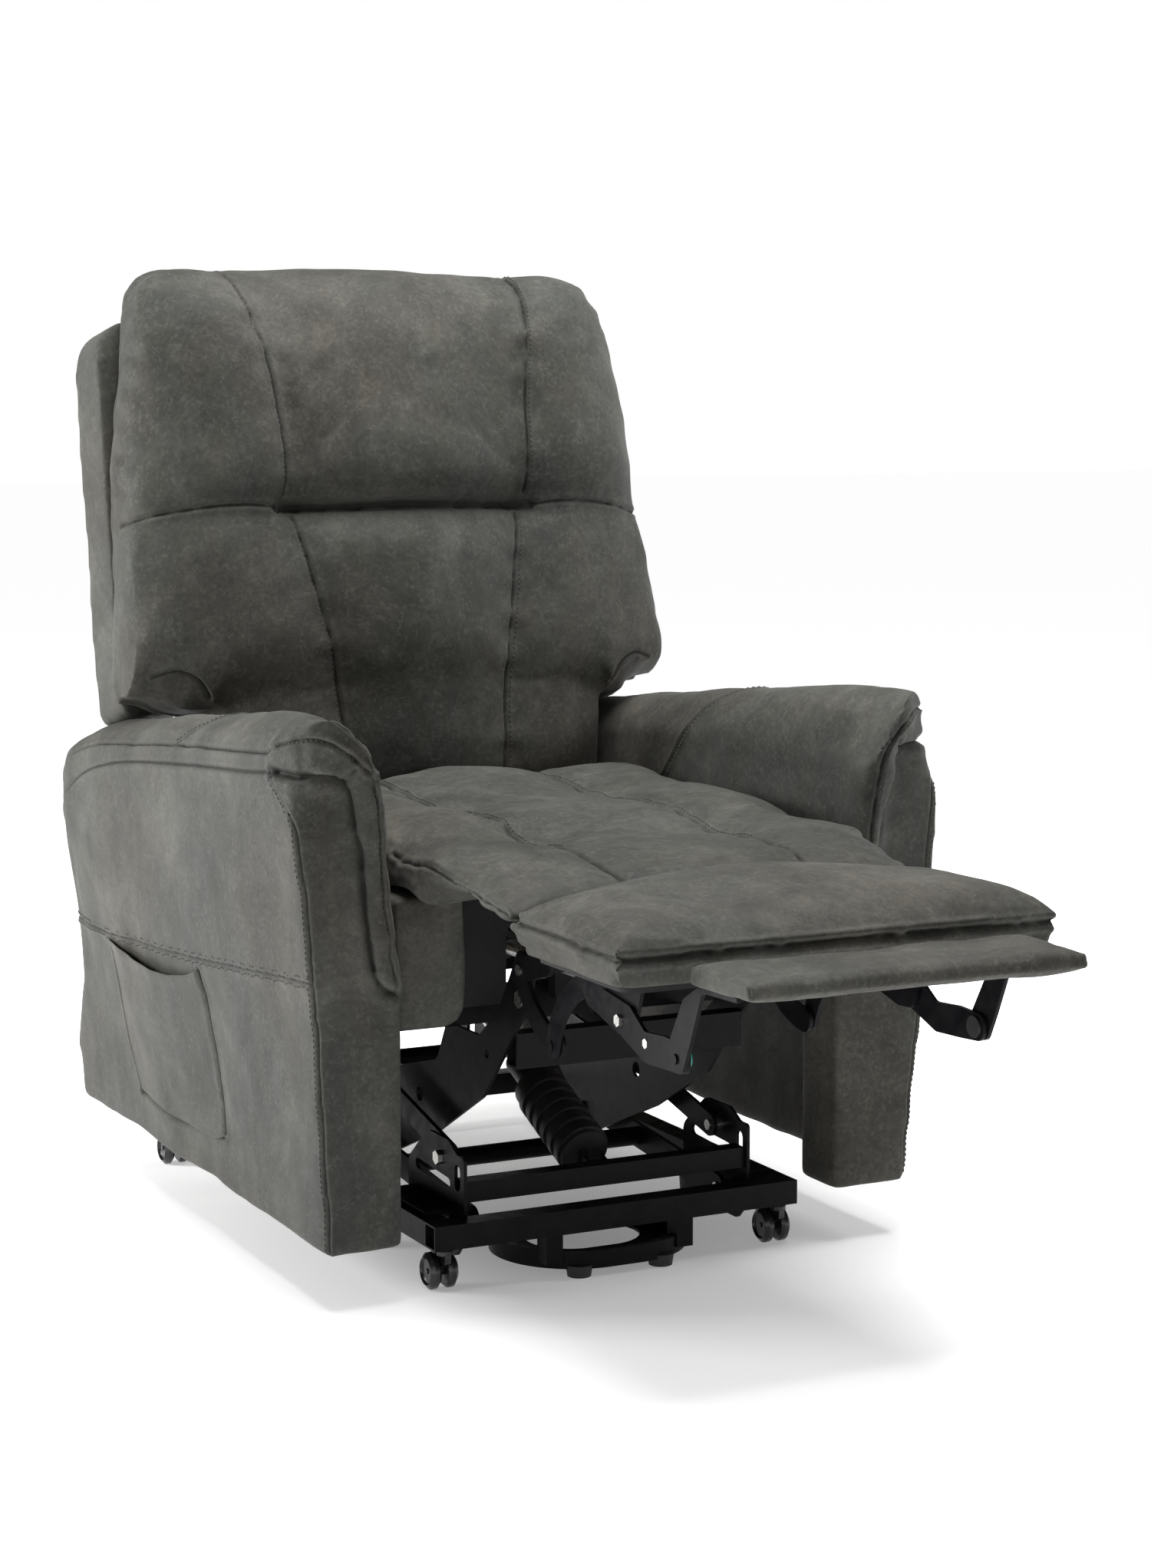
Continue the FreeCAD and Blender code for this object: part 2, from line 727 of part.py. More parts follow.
def seat_cushion():
    """The seat: three panels across, a swell at the rear, a dip and a swell at the front."""
    stations = [
        (seat_front, 455, 24, 0.0, 4.0), (seat_front + 10, cushion_base + 4, 34, 0.0, 7.0),
        (0, cushion_base, 46, -2.0, 12.0), (90, cushion_base, 60, -4.0, 14.0),
        (230, cushion_base, 56, -5.0, 9.0), (380, cushion_base, 62, -3.0, 15.0),
        (460, cushion_base, 62, -1.0, 13.0), (seat_rear - 8, cushion_base, 56, 0.0, 8.0),
    ]
    wires = []
    for y, low, depth, draw, crown in stations:
        edge = low + depth - 2
        if y < -40:
            edge = 484
        seam = edge + 4
        half = cushion_half - 2 + draw
        place = lambda a, b, y=y: V(a, y, b)
        seams = [(seat_seam_x, seam), (-seat_seam_x, seam)]
        wires.append(padded_section(place, half, low, edge, seams,
                                    [seam + crown * 0.5, seam + crown, seam + crown * 0.5], 5.0))
    body = lofted(wires)
    under = box(-arm_inner_x, arm_inner_x, front_board_y - 60, seat_rear + 40, cushion_base - 60,
                cushion_base + run_gap)
    body = body.cut(under)
    hollow = cross_rod(recline_pivot, -arm_inner_x, arm_inner_x, back_sweep() + lead_gap)
    return body.cut(hollow)


def chaise_bridge():
    """The padded panel that carries the seat's surface on to the calf pad."""
    wires = []
    for y, low, edge, seam, crown in ((calf_rear + 0.5, 437, 456, 466, 3), (-170, 440, 462, 480, 6),
                                      (-110, 444, 470, 488, 7), (seat_front - run_gap, 448, 482, 487, 6)):
        place = lambda a, b, y=y: V(a, y, b)
        half = cushion_half - 6 - (seat_front - y) * 0.03
        seams = [(seat_seam_x, seam), (-seat_seam_x, seam)]
        wires.append(padded_section(place, half, low, edge, seams,
                                    [seam + crown * 0.3, seam + crown, seam + crown * 0.3], 5.0))
    return lofted(wires)


def calf_pad():
    """The calf pad: one broad roll across, with a shallow band under its front seam."""
    wires = []
    base = calf_board_z + calf_board_thick
    for y, edge, crown, draw in ((calf_rear, 452, 470, 0), (-262, 460, 487, -2), (-330, 458, 485, -3),
                                 (-400, 450, 473, -2), (calf_front, 442, 452, 0)):
        place = lambda a, b, y=y: V(a, y, b)
        wires.append(padded_section(place, calf_half + draw, base, edge, [], [crown], 4.0))
    body = lofted(wires)
    skirt_top = base
    skirt = box(-calf_half + 6, calf_half - 6, calf_front + 1, calf_front + 12, calf_board_z + 4, skirt_top + 6)
    return joined([body, skirt])


def calf_board():
    """The plywood board that the calf pad is stapled to."""
    corners = [(-calf_half + 20, calf_front + 13, 20), (calf_half - 20, calf_front + 13, 20),
               (calf_half - 20, calf_rear - 12, 20), (-calf_half + 20, calf_rear - 12, 20)]
    wire = rounded_wire(corners, lambda p: V(p.x, p.y, calf_board_z))
    return Part.Face(wire).extrude(V(0, 0, calf_board_thick))


def flap_panel():
    """The thin upholstered flap beyond the calf pad."""
    corners = [(flap_front, flap_bottom + 3, 3), (flap_rear, flap_bottom, 3),
               (flap_rear, flap_bottom + flap_thick, 8), (flap_front, flap_bottom + flap_thick - 2, 7)]
    return slab(corners, -flap_half, flap_half)


def legrest_brackets():
    """Angle brackets under the calf board, one each side, with the legrest's pivot holes."""
    x1 = bracket_x + plate
    py, pz = legrest_pivot
    outline = [
        (py + 16, pz - 6, 12), (py + 4, pz - 20, 12), (arm_bolt[0] + 10, arm_bolt[1] - 16, 12),
        (arm_bolt[0] - 18, arm_bolt[1] - 14, 12), (arm_bolt[0] - 40, calf_board_z - plate, 10),
        (arm_bolt[0] - 40, calf_board_z, 0), (py + 4, calf_board_z, 0), (py + 18, pz + 14, 10),
    ]
    web = slab(outline, bracket_x, x1)
    flange = box(bracket_x, bracket_x + 34, arm_bolt[0] - 110, py - 6, calf_board_z - plate, calf_board_z)
    pin = cross_rod(legrest_pivot, crescent_x - 2, bracket_x, lift_pin_r)
    return both_sides(joined([web, flange, pin]))


def legrest_arms():
    """The stepped arms that run forward from the brackets to the flap's pivots."""
    x1 = leg_arm_x + plate
    sy, sz = -258.0, 362.0
    by, bz = arm_bolt
    fy, fz = flap_pivot
    outline = [
        (sy + 12, sz - 4, 8), (by - 6, bz - 16, 10), (by - 52, bz - 32, 12), (fy + 26, fz - 16, 12),
        (fy - 14, fz - 13, 10), (fy - 14, fz + 13, 10), (fy + 30, fz + 15, 12), (by - 50, bz - 2, 12),
        (by - 20, bz + 17, 10), (sy, sz + 14, 10),
    ]
    web = slab(outline, leg_arm_x, x1)
    pin = cross_rod(flap_pivot, x1, flap_arm_x + plate + 2, 5.0)
    spacer = box(bracket_x + plate, leg_arm_x, by - 6, by + 6, bz - 6, bz + 6)
    return both_sides(joined([web, pin, spacer]))


def leg_bolts():
    """Small bolt heads on the legrest's arms."""
    x0 = leg_arm_x + plate
    heads = [hex_head(arm_bolt, x0, x0 + 4, 11), hex_head((-352.0, 338.0), x0, x0 + 0.8, 9)]
    return both_sides(Part.makeCompound(heads))


def flap_washers():
    """Coloured plastic washers at the flap's pivots."""
    x0 = leg_arm_x - 3.0
    ring = cross_rod(flap_pivot, x0, leg_arm_x, 11.0)
    return both_sides(ring)


def flap_brackets():
    """Goose-neck brackets that carry the flap from its pivots."""
    x1 = flap_arm_x + plate
    fy, fz = flap_pivot
    outline = [
        (fy + 13, fz - 13, 11), (fy - 12, fz - 13, 10), (fy - 26, fz + 16, 12), (flap_rear - 6, flap_bottom - 6, 8),
        (flap_rear - 70, flap_bottom - 4, 3), (flap_rear - 70, flap_bottom, 0), (flap_rear - 2, flap_bottom, 0),
        (flap_rear + 30, flap_bottom - 18, 8), (fy + 14, fz + 12, 10),
    ]
    web = slab(outline, flap_arm_x, x1)
    hole = cross_rod(flap_pivot, flap_arm_x - 1, x1 + 1, 5.0 + pin_gap)
    flange = box(flap_arm_x - 30, x1, flap_rear - 70, flap_rear - 4, flap_bottom - 3, flap_bottom)
    return both_sides(joined([web.cut(hole), flange]))


# Legrest linkage

def drive_links():
    """The crescent drive links, the torque tube that joins them and the motor's two crank lugs."""
    x1 = drive_x + link_plate
    link = bowed_link(drive_pivot, drive_end, -14, 26, drive_x, x1)
    hole = cross_rod(drive_pivot, drive_x - 1, x1 + 1, lift_pin_r + pin_gap)
    pin = cross_rod(drive_end, x1, crescent_x + link_plate + 1.5, lift_pin_r)
    lobe = stadium(drive_pivot, torque_place(), 26, drive_x, x1)
    link = joined([joined([link, lobe]).cut(hole), pin])
    tube = cross_rod(torque_place(), -drive_x, drive_x, 10.0)
    lug = joined([stadium(torque_place(), crank_place(), 24, 9.0 + run_gap, 13.0),
                  hex_head(crank_place(), 13.0, 17, 12)])
    other = mirrored(lug)
    lug.translate(V(-motor_lane, 0, 0))
    other.translate(V(-motor_lane, 0, 0))
    return joined([link, mirrored(link), tube, lug, other])


def torque_place():
    """The torque tube's place (y, z) round the drive pivot."""
    angle = math.radians(torque_angle)
    return (drive_pivot[0] + torque_reach * math.cos(angle), drive_pivot[1] + torque_reach * math.sin(angle))


def crank_place():
    angle = math.radians(legrest_crank_angle)
    return (drive_pivot[0] + legrest_crank * math.cos(angle), drive_pivot[1] + legrest_crank * math.sin(angle))


def crescent_links():
    """The second pair of crescents, from the drive links up to the calf board's brackets."""
    x1 = crescent_x + link_plate
    link = bowed_link(drive_end, legrest_pivot, 20, 24, crescent_x, x1)
    low = cross_rod(drive_end, crescent_x - 1, x1 + 1, lift_pin_r + pin_gap)
    high = cross_rod(legrest_pivot, crescent_x - 1, x1 + 1, lift_pin_r + pin_gap)
    return both_sides(link.cut(low).cut(high))


# Arms

arm_seam_front = 551.0
arm_seam_rear = 480.0
arm_overhang = 44.0
arm_rear_y = side_length + arm_overhang


def seam_level(y):
    """The level of the seam under the arm pad, which falls to the rear."""
    return arm_seam_front + (arm_seam_rear - arm_seam_front) * y / arm_rear_y


def arm_block():
    """The arm's outer form, with its bulging outer side and its rounded rear."""
    wires = []
    for y in (0.0, arm_rear_y):
        top = seam_level(y) - run_gap
        bend = floor_gap + 0.48 * (top - floor_gap)
        flare = arm_outer_x + 19.0 * (bend - floor_gap) / 238.0
        corners = [V(arm_outer_x, y, floor_gap), V(flare, y, bend), V(arm_outer_x + 36, y, (bend + top) / 2 + 14),
                   V(arm_outer_x + 40, y, top)]
        edges = [Part.makeLine(corners[0], corners[1]), Part.Arc(corners[1], corners[2], corners[3]).toShape(),
                 Part.makeLine(corners[3], V(arm_inner_x, y, top)),
                 Part.makeLine(V(arm_inner_x, y, top), V(arm_inner_x, y, floor_gap)),
                 Part.makeLine(V(arm_inner_x, y, floor_gap), corners[0])]
        wires.append(Part.Wire(edges))
    block = Part.makeLoft(wires, True, True)
    side = slab([(0, floor_gap, 0), (side_length, floor_gap, 0), (side_length + 38, 330, 300),
                 (side_length + 52, 440, 40), (side_length + 30, 600, 0), (0, 600, 0)],
                arm_inner_x - 1, arm_outer_x + 60)
    return block.common(side)


def arm_body():
    """The upholstered arm box: a bulging outer panel, a front panel and an inner panel, open below."""
    block = arm_block()
    wall = 18.0
    outer = arm_outer_x - wall
    cavity_wire = rounded_wire(
        [(arm_inner_x + wall, floor_gap - 1, 0), (outer, floor_gap - 1, 0), (outer + 17, 280, 60),
         (outer + 20, 410, 16), (arm_inner_x + wall, 410, 16)], lambda p: V(p.x, wall, p.y))
    cavity = Part.Face(cavity_wire).extrude(V(0, side_length - 2 * wall, 0))
    mouth = box(arm_inner_x - 1, arm_inner_x + wall + 1, 80, side_length - wall, floor_gap - 1, rail_bottom)
    return block.cut(cavity).cut(mouth)


def arm_top(y):
    """The level of the arm pad's crown, which falls to the rear."""
    marks = [(-60.0, 629.0), (0.0, 633.0), (137.0, 622.0), (420.0, 590.0), (arm_rear_y - 166.0, 556.0),
             (arm_rear_y - 100.0, 530.0), (arm_rear_y - 40.0, 500.0), (arm_rear_y + 20.0, 472.0)]
    for (y0, z0), (y1, z1) in zip(marks, marks[1:]):
        if y <= y1:
            return z0 + (z1 - z0) * (y - y0) / (y1 - y0)
    return marks[-1][1]


def arm_pad_section(y, low, top, swell):
    """One crosswise outline of the arm pad, from its outer seam over the crown to its inner edge."""
    outer = arm_outer_x + 40
    inner = arm_inner_x + 0.5
    shoulder = low + (top - low) * 0.62
    points = [V(outer, y, low), V(outer + swell * 0.8, y, low + (top - low) * 0.3), V(outer - 4, y, shoulder),
              V((outer + inner) / 2, y, top), V(inner + 1, y, shoulder)]
    edges = arc_chain(points)
    edges.append(Part.makeLine(points[4], V(inner, y, low)))
    edges.append(Part.makeLine(V(inner, y, low), V(outer, y, low)))
    return Part.Wire(edges)


def arm_pad():
    """The padded arm top: a crowned roll that falls to the rear and hangs over front and back."""
    front = -46.0
    rear = arm_rear_y + 12.0
    wires = [arm_pad_section(front, seam_level(0) + 28, 606.0, 1.0),
             arm_pad_section(front + 12, seam_level(0) + 16, 624.0, 4.0)]
    bays = 12
    for i in range(bays):
        y = i * (arm_rear_y - 40) / bays
        wires.append(arm_pad_section(y, seam_level(y), arm_top(y), 6.0))
    wires.append(arm_pad_section(arm_rear_y - 20, seam_level(arm_rear_y - 20), arm_top(arm_rear_y - 20), 3.0))
    wires.append(arm_pad_section(rear, seam_level(arm_rear_y) - 16, arm_top(rear), 0.5))
    under = slab([(-run_gap, 400, 0), (rear - 3, 400, 0), (rear - 3, seam_level(rear - 3), 0),
                  (-run_gap, seam_level(-run_gap), 0)], arm_inner_x - 10, arm_outer_x + 60)
    solids = lofted(wires).cut(under).Solids
    return max(solids, key=lambda solid: solid.Volume)


def arm_front_roll():
    """The padded roll that runs down the inner front edge of the arm."""
    wires = []
    for z, width, depth in ((326, 20, 9), (350, 32, 14), (430, 37, 20), (510, 40, 27), (seam_level(0) - 1, 42, 32)):
        x0 = arm_inner_x + 0.5
        x1 = x0 + width
        points = [V(x0, -0.0, z), V((x0 + x1) / 2, -depth, z), V(x1, -0.0, z)]
        edges = arc_chain(points)
        edges.append(Part.makeLine(points[2], points[0]))
        wires.append(Part.Wire(edges))
    return lofted(wires)


pocket_wall = 2.5
pocket_depth = 15.0


def side_pocket():
    """The sewn pocket on the outside of one arm, with a slack mouth that dips in the middle."""
    outline = [(300, 112, 30), (605, 112, 40), (650, 215, 60), (675, 290, 3), (455, 284, 120), (367, 309, 3),
               (330, 240, 60)]
    inner = [(312, 122, 26), (598, 122, 34), (640, 215, 60), (662, 330, 0), (350, 350, 0), (342, 240, 60)]

    def lean(shape):
        shape.translate(V(-arm_outer_x, 0, -floor_gap))
        shape.rotate(V(0, 0, 0), V(0, 1, 0), math.degrees(math.atan(19.0 / 238.0)))
        shape.translate(V(arm_outer_x, 0, floor_gap))
        return shape

    skin = slab(outline, arm_outer_x + 0.05, arm_outer_x + pocket_depth)
    space = slab(inner, arm_outer_x + pocket_wall, arm_outer_x + pocket_depth - pocket_wall)
    sewn = lean(skin.cut(space)).cut(arm_block())
    return mirrored(sewn)


# Back

def back_slab(corners, v0, v1):
    """A block of outline (x, w, radius) in the back's own frame, from v0 to v1."""
    wire = rounded_wire(corners, lambda p: back_place(p.x, v0, p.y))
    return Part.Face(wire).extrude(back_place(0, v1, 0) - back_place(0, v0, 0))


def back_shell():
    """The upholstered outer back: a rounded box above the arms and a narrower one between them."""
    front = back_rear_v - back_shell_thick
    wide = [(-shell_half, wing_w, 10), (-shell_half, back_top_w, 46), (shell_half, back_top_w, 46),
            (shell_half, wing_w, 10)]
    low = [(-shell_low_half, back_bottom_w, 10), (-shell_low_half, wing_w + 20, 0),
           (shell_low_half, wing_w + 20, 0), (shell_low_half, back_bottom_w, 10)]
    upper = back_slab(wide, front, back_rear_v)
    lower = back_slab(low, front, back_rear_v - 12)
    return joined([upper, lower])


def panel_wire(w, half, base, edge, seam_x, seam, crowns, bulge):
    """A cross section of a back cushion at height w: base lies on the shell, crowns face the sitter."""
    place = lambda a, b: back_place(a, back_rear_v - back_shell_thick - b, w)
    seams = [(seam_x, seam), (-seam_x, seam)]
    return padded_section(place, half, base, edge, seams, crowns, bulge)


def headrest_cushion():
    """The upper row of the back: three panels that swell over a deep crease."""
    wires = []
    stations = [
        (crease_w + run_gap, 349, 70, 100, 148, 118, 122), (crease_w + 26, 346, 74, 128, 144, 138, 160),
        (990, 340, 76, 132, 144, 144, 166), (1080, 330, 72, 122, 150, 132, 148),
        (1150, 318, 58, 98, 168, 110, 124), (1190, 306, 36, 62, 178, 76, 90), (1208, 296, 12, 30, 186, 40, 48),
    ]
    for w, half, edge, seam, seam_x, side_crown, crown in stations:
        wires.append(panel_wire(w, half, 0.3, edge, seam_x, seam, [side_crown, crown, side_crown], 6.0))
    return lofted(wires)


def lumbar_cushion():
    """The lower row of the back, with wings above the arms and a narrower part down to the seat."""
    wires = []
    stations = [
        (wing_w + 2, 358, 66, 122, 112, 116, 160), (wing_w + 30, 361, 88, 132, 120, 130, 168),
        (770, 357, 90, 136, 128, 134, 172), (840, 352, 84, 130, 138, 130, 164),
        (crease_w - 24, 350, 78, 122, 146, 126, 150), (crease_w - run_gap, 349, 70, 100, 150, 112, 120),
    ]
    for w, half, edge, seam, seam_x, side_crown, crown in stations:
        wires.append(panel_wire(w, half, 0.3, edge, seam_x, seam, [side_crown, crown, side_crown], 6.0))
    upper = lofted(wires)
    wires = []
    rise = wing_w + 14 - (back_bottom_w - 2)
    for share, edge, seam, seam_x, crown in ((0.0, 40, 60, 96, 70), (0.19, 70, 92, 98, 110),
                                             (0.42, 92, 122, 100, 142), (0.69, 104, 130, 106, 158),
                                             (1.0, 110, 128, 114, 163)):
        w = back_bottom_w - 2 + share * rise
        wires.append(panel_wire(w, cushion_low_half, 0.3, edge, seam_x, seam, [seam - 2, crown, seam - 2], 3.0))
    lower = lofted(wires)
    sweep = cross_rod(recline_pivot, -arm_inner_x, arm_inner_x, back_sweep())
    keep = sweep.fuse(box(-arm_inner_x, arm_inner_x, 300, 800, recline_pivot[1] + 6, wing_w + 200))
    rail_space = box(rail_x0 - lead_gap, arm_inner_x, 300, 800, rail_bottom - 100, rail_top + lead_gap)
    lower = lower.common(keep).cut(both_sides(rail_space))
    return joined([upper, lower])


hinge_plate_x = rail_x0 - 2 * plate - run_gap


def back_brackets():
    """Steel plates on the back's lower sides that hang it on the recline pins."""
    hy, hz = recline_pivot
    x0 = shell_low_half
    x1 = hinge_plate_x + plate
    headroom = back_place(0, back_rear_v, wing_w).z - hz
    rear_rise = 0.57 * headroom
    spacer = box(x0, hinge_plate_x, hy - 60, hy - 22, hz - 30, hz + 0.34 * headroom)
    outline = [(hy - 62, hz - 40, 8), (hy - 14, hz - 18, 14), (hy + 14, hz - 14, 13),
               (hy + 14, hz + 0.18 * headroom, 13), (hy - 18, hz + 0.39 * headroom, 14), (hy - 62, hz + rear_rise, 8)]
    web = slab(outline, hinge_plate_x, x1)
    hole = cross_rod(recline_pivot, hinge_plate_x - 1, x1 + 1, 5.0 + pin_gap)
    return both_sides(joined([web.cut(hole), spacer]))


def recline_brackets():
    """Plates that stand on the seat's side rails and hold the recline pins."""
    hy, hz = recline_pivot
    x0 = hinge_plate_x + plate + run_gap
    x1 = x0 + plate
    outline = [(hy - 60, rail_bottom + 6, 6), (hy + 20, rail_bottom + 6, 6), (hy + 20, hz - 30, 20),
               (hy + 16, hz + 15, 14), (hy - 16, hz + 15, 14), (hy - 60, rail_top + 20, 20)]
    web = slab(outline, x0, x1)
    pin = cross_rod(recline_pivot, hinge_plate_x - 2, x0, 5.0)
    return both_sides(joined([web, pin]))


# Powered legs

motor_r = 31.0
tube_r = 16.0
rod_r = 9.0


def along_motor(foot, head, x, start, end, radius):
    """A round length on the line from foot to head, from start to end along it."""
    run = V(0, head[0] - foot[0], head[1] - foot[1])
    run.normalize()
    base = V(x, foot[0], foot[1])
    return rod(base + run * start, base + run * end, radius)


def motor_body(foot, head, x, housing, tube):
    """A motor leg's fixed half: an eye, a ribbed housing and a plain tube with a bore for the rod."""
    eye = cross_rod(foot, x - 8, x + 8, 11)
    neck = along_motor(foot, head, x, 6, 22, 7.5)
    shell = along_motor(foot, head, x, 20, housing, motor_r - 3)
    parts = [eye, neck, shell]
    ribs = 6
    pitch = (housing - 34) / ribs
    for i in range(ribs):
        start = 26 + i * pitch
        parts.append(along_motor(foot, head, x, start, start + pitch * 0.5, motor_r))
    parts.append(along_motor(foot, head, x, housing, tube, tube_r))
    body = joined(parts)
    bore = along_motor(foot, head, x, housing, tube + 5, rod_r + pin_gap)
    pin_hole = cross_rod(foot, x - 9, x + 9, 5.0 + pin_gap)
    return body.cut(bore).cut(pin_hole)


def motor_rod(foot, head, x, inside):
    """A motor leg's sliding rod, with the eye at its end."""
    length = span(foot, head)
    bar = along_motor(foot, head, x, inside, length - 8, rod_r)
    eye = cross_rod(head, x - 8.5, x + 8.5, 12)
    return joined([bar, eye])


def clevis(foot, x, seat_place, depth):
    """Two ears with a pin between them, standing on a member at seat_place."""
    ear = stadium(foot, seat_place, depth, x + 8 + run_gap, x + 12.5)
    other = stadium(foot, seat_place, depth, x - 12.5, x - 8 - run_gap)
    pin = cross_rod(foot, x - 12.5, x + 12.5, 5.0)
    return [ear, other, pin]


def lift_motor_clevis():
    """The clevis behind the front bar that holds the lift motor's foot."""
    seat_place = (front_bar_y + front_bar_depth + 6, front_bar_z + 12)
    parts = clevis(lift_motor_foot, 0.0, seat_place, 20)
    base = box(-14, 14, front_bar_y + front_bar_depth, front_bar_y + front_bar_depth + 5, front_bar_z, front_bar_z + 22)
    return joined(parts + [base])


def recline_motor_clevis():
    """The clevis on the front cross bar that holds the recline motor's foot."""
    seat_place = (front_bar_seat_y + 18, rail_bottom + 4)
    parts = clevis(recline_motor_foot, motor_lane, seat_place, 18)
    base = box(motor_lane - 14, motor_lane + 14, front_bar_seat_y - 10, front_bar_seat_y + 26, rail_bottom,
               rail_bottom + 4)
    return joined(parts + [base])


def legrest_motor_clevis():
    """The clevis on the rear cross bar that holds the legrest motor's foot."""
    seat_place = (legrest_motor_foot[0] + 26, rail_bottom + 8)
    parts = clevis(legrest_motor_foot, -motor_lane, seat_place, 18)
    base = box(-motor_lane - 14, -motor_lane + 14, rear_bar_seat_y - 34, rear_bar_seat_y + 10, rail_bottom,
               rail_bottom + 4)
    return joined(parts + [base])


def back_motor_lugs():
    """Two lugs under the back's lower end, which the recline motor pulls on."""
    hy, hz = recline_motor_head
    root = (hy + 2, hz + 48)
    bottom = back_slab([(motor_lane - 30, back_bottom_w - 4, 0), (motor_lane - 30, back_bottom_w - run_gap, 0),
                        (motor_lane + 30, back_bottom_w - run_gap, 0), (motor_lane + 30, back_bottom_w - 4, 0)],
                       back_rear_v - back_shell_thick + 10, back_rear_v - 30)
    keep = back_slab([(-400, 300, 0), (-400, back_bottom_w - run_gap, 0), (400, back_bottom_w - run_gap, 0),
                      (400, 300, 0)], 400, 800)
    lug = stadium((hy, hz), root, 26, motor_lane + 9 + run_gap, motor_lane + 13.5)
    other = stadium((hy, hz), root, 26, motor_lane - 13.5, motor_lane - 9 - run_gap)
    return joined([bottom, lug.common(keep), other.common(keep)])


def build():
    """Every sub-part by its node name, in the chair's own frame before it is centred."""
    nodes = {}
    nodes["base_front_tube"] = front_tube()
    nodes["base_rear_tube"] = rear_tube()
    nodes["base_side_rails"] = side_rails()
    nodes["rail_feet"] = rail_feet()
    nodes["tower_plates"] = towers()
    nodes["front_bar"] = joined([front_bar(), lift_motor_clevis()])
    nodes["tower_pins"] = Part.makeCompound([tower_pins(), tower_bolts()])
    nodes["floor_loop"] = floor_loop()
    nodes["loop_pads"] = loop_pads()
    for name, x, y, trail in castors():
        nodes["castor_fork_" + name] = castor_fork(x, y, trail)
        nodes["castor_wheels_" + name] = castor_wheels(x, y, trail)
    nodes["lower_lift_links"] = lower_links()
    nodes["upper_lift_links"] = upper_links()
    nodes["lift_motor"] = motor_body(lift_motor_foot, lift_motor_head, 0.0, 150, 205)
    nodes["lift_motor_rod"] = motor_rod(lift_motor_foot, lift_motor_head, 0.0, 155)
    nodes["lift_side_plates"] = lift_side_plates()
    nodes["side_plate_pins"] = Part.makeCompound([side_plate_pins(), mechanism_bolts()])
    nodes["lift_cross_member"] = lift_cross_member()
    nodes["lift_drive_tube"] = lift_drive_tube()
    front, rear = seat_cross_bars()
    front = joined([front, recline_motor_clevis()])
    rear = joined([rear, legrest_motor_clevis()])
    nodes["seat_cross_bars"] = Part.makeCompound([front, rear])
    nodes["seat_box_rails"] = Part.makeCompound([seat_side_rails(), rear_rail()])
    nodes["front_rail"] = front_rail()
    nodes["front_rail_pads"] = front_rail_pads()
    nodes["spring_rail"] = spring_rail()
    nodes["seat_springs"] = seat_springs()
    nodes["seat_cushion"] = seat_cushion()
    nodes["chaise_bridge"] = chaise_bridge()
    nodes["drive_links"] = drive_links()
    nodes["crescent_links"] = crescent_links()
    nodes["legrest_motor"] = motor_body(legrest_motor_foot, crank_place(), -motor_lane, 150, 300)
    nodes["legrest_motor_rod"] = motor_rod(legrest_motor_foot, crank_place(), -motor_lane, 220)
    nodes["calf_pad"] = calf_pad()
    nodes["calf_board"] = calf_board()
    nodes["legrest_brackets"] = legrest_brackets()
    nodes["legrest_arms"] = legrest_arms()
    nodes["legrest_bolts"] = leg_bolts()
    nodes["flap_washers"] = flap_washers()
    nodes["flap_panel"] = flap_panel()
    nodes["flap_brackets"] = flap_brackets()
    for name, maker in (("arm_body_", arm_body), ("arm_pad_", arm_pad), ("arm_roll_", arm_front_roll)):
        shape = maker()
        nodes[name + "left"] = shape
        nodes[name + "right"] = mirrored(shape)
    nodes["side_pocket"] = side_pocket()
    nodes["recline_brackets"] = recline_brackets()
    nodes["back_shell"] = back_shell()
    nodes["headrest_cushion"] = headrest_cushion()
    nodes["lumbar_cushion"] = lumbar_cushion()
    nodes["back_brackets"] = Part.makeCompound([back_brackets(), back_motor_lugs()])
    nodes["recline_motor"] = motor_body(recline_motor_foot, recline_motor_head, motor_lane, 150, 300)
    nodes["recline_motor_rod"] = motor_rod(recline_motor_foot, recline_motor_head, motor_lane, 206)
    return nodes


def castors():
    """Name, stem place and trail of each castor."""
    return [
        ("front_left", castor_front_x, castor_front_y, 15.0), ("front_right", -castor_front_x, castor_front_y, 15.0),
        ("rear_left", castor_rear_x, castor_rear_y, 15.0), ("rear_right", -castor_rear_x, castor_rear_y, 15.0),
    ]


nodes = build()
whole = Part.makeCompound(list(nodes.values())).BoundBox
y_centre = (whole.YMin + whole.YMax) / 2

if __name__ == "__main__":
    os.makedirs("parts", exist_ok=True)
    for name, shape in nodes.items():
        placed = shape.copy()
        placed.translate(V(0, -y_centre, 0))
        placed.exportStep("parts/" + name + ".step")
    print(len(nodes), "nodes, centre at y", round(y_centre, 3), "box", whole)
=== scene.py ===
# %% [markdown]
# # Dressing a lift recliner chair
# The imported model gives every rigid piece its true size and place, so this notebook keeps those
# pieces and gives them finishes. Its soft solids are plain stand-ins. Upholstery takes their place:
# padded covers that are blown up by a cloth simulation, with seams, stitches and a mottled suede.

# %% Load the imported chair
import json
import math

import bmesh
import bpy
import numpy as np
from mathutils import Matrix, Vector, noise
from mathutils.bvhtree import BVHTree


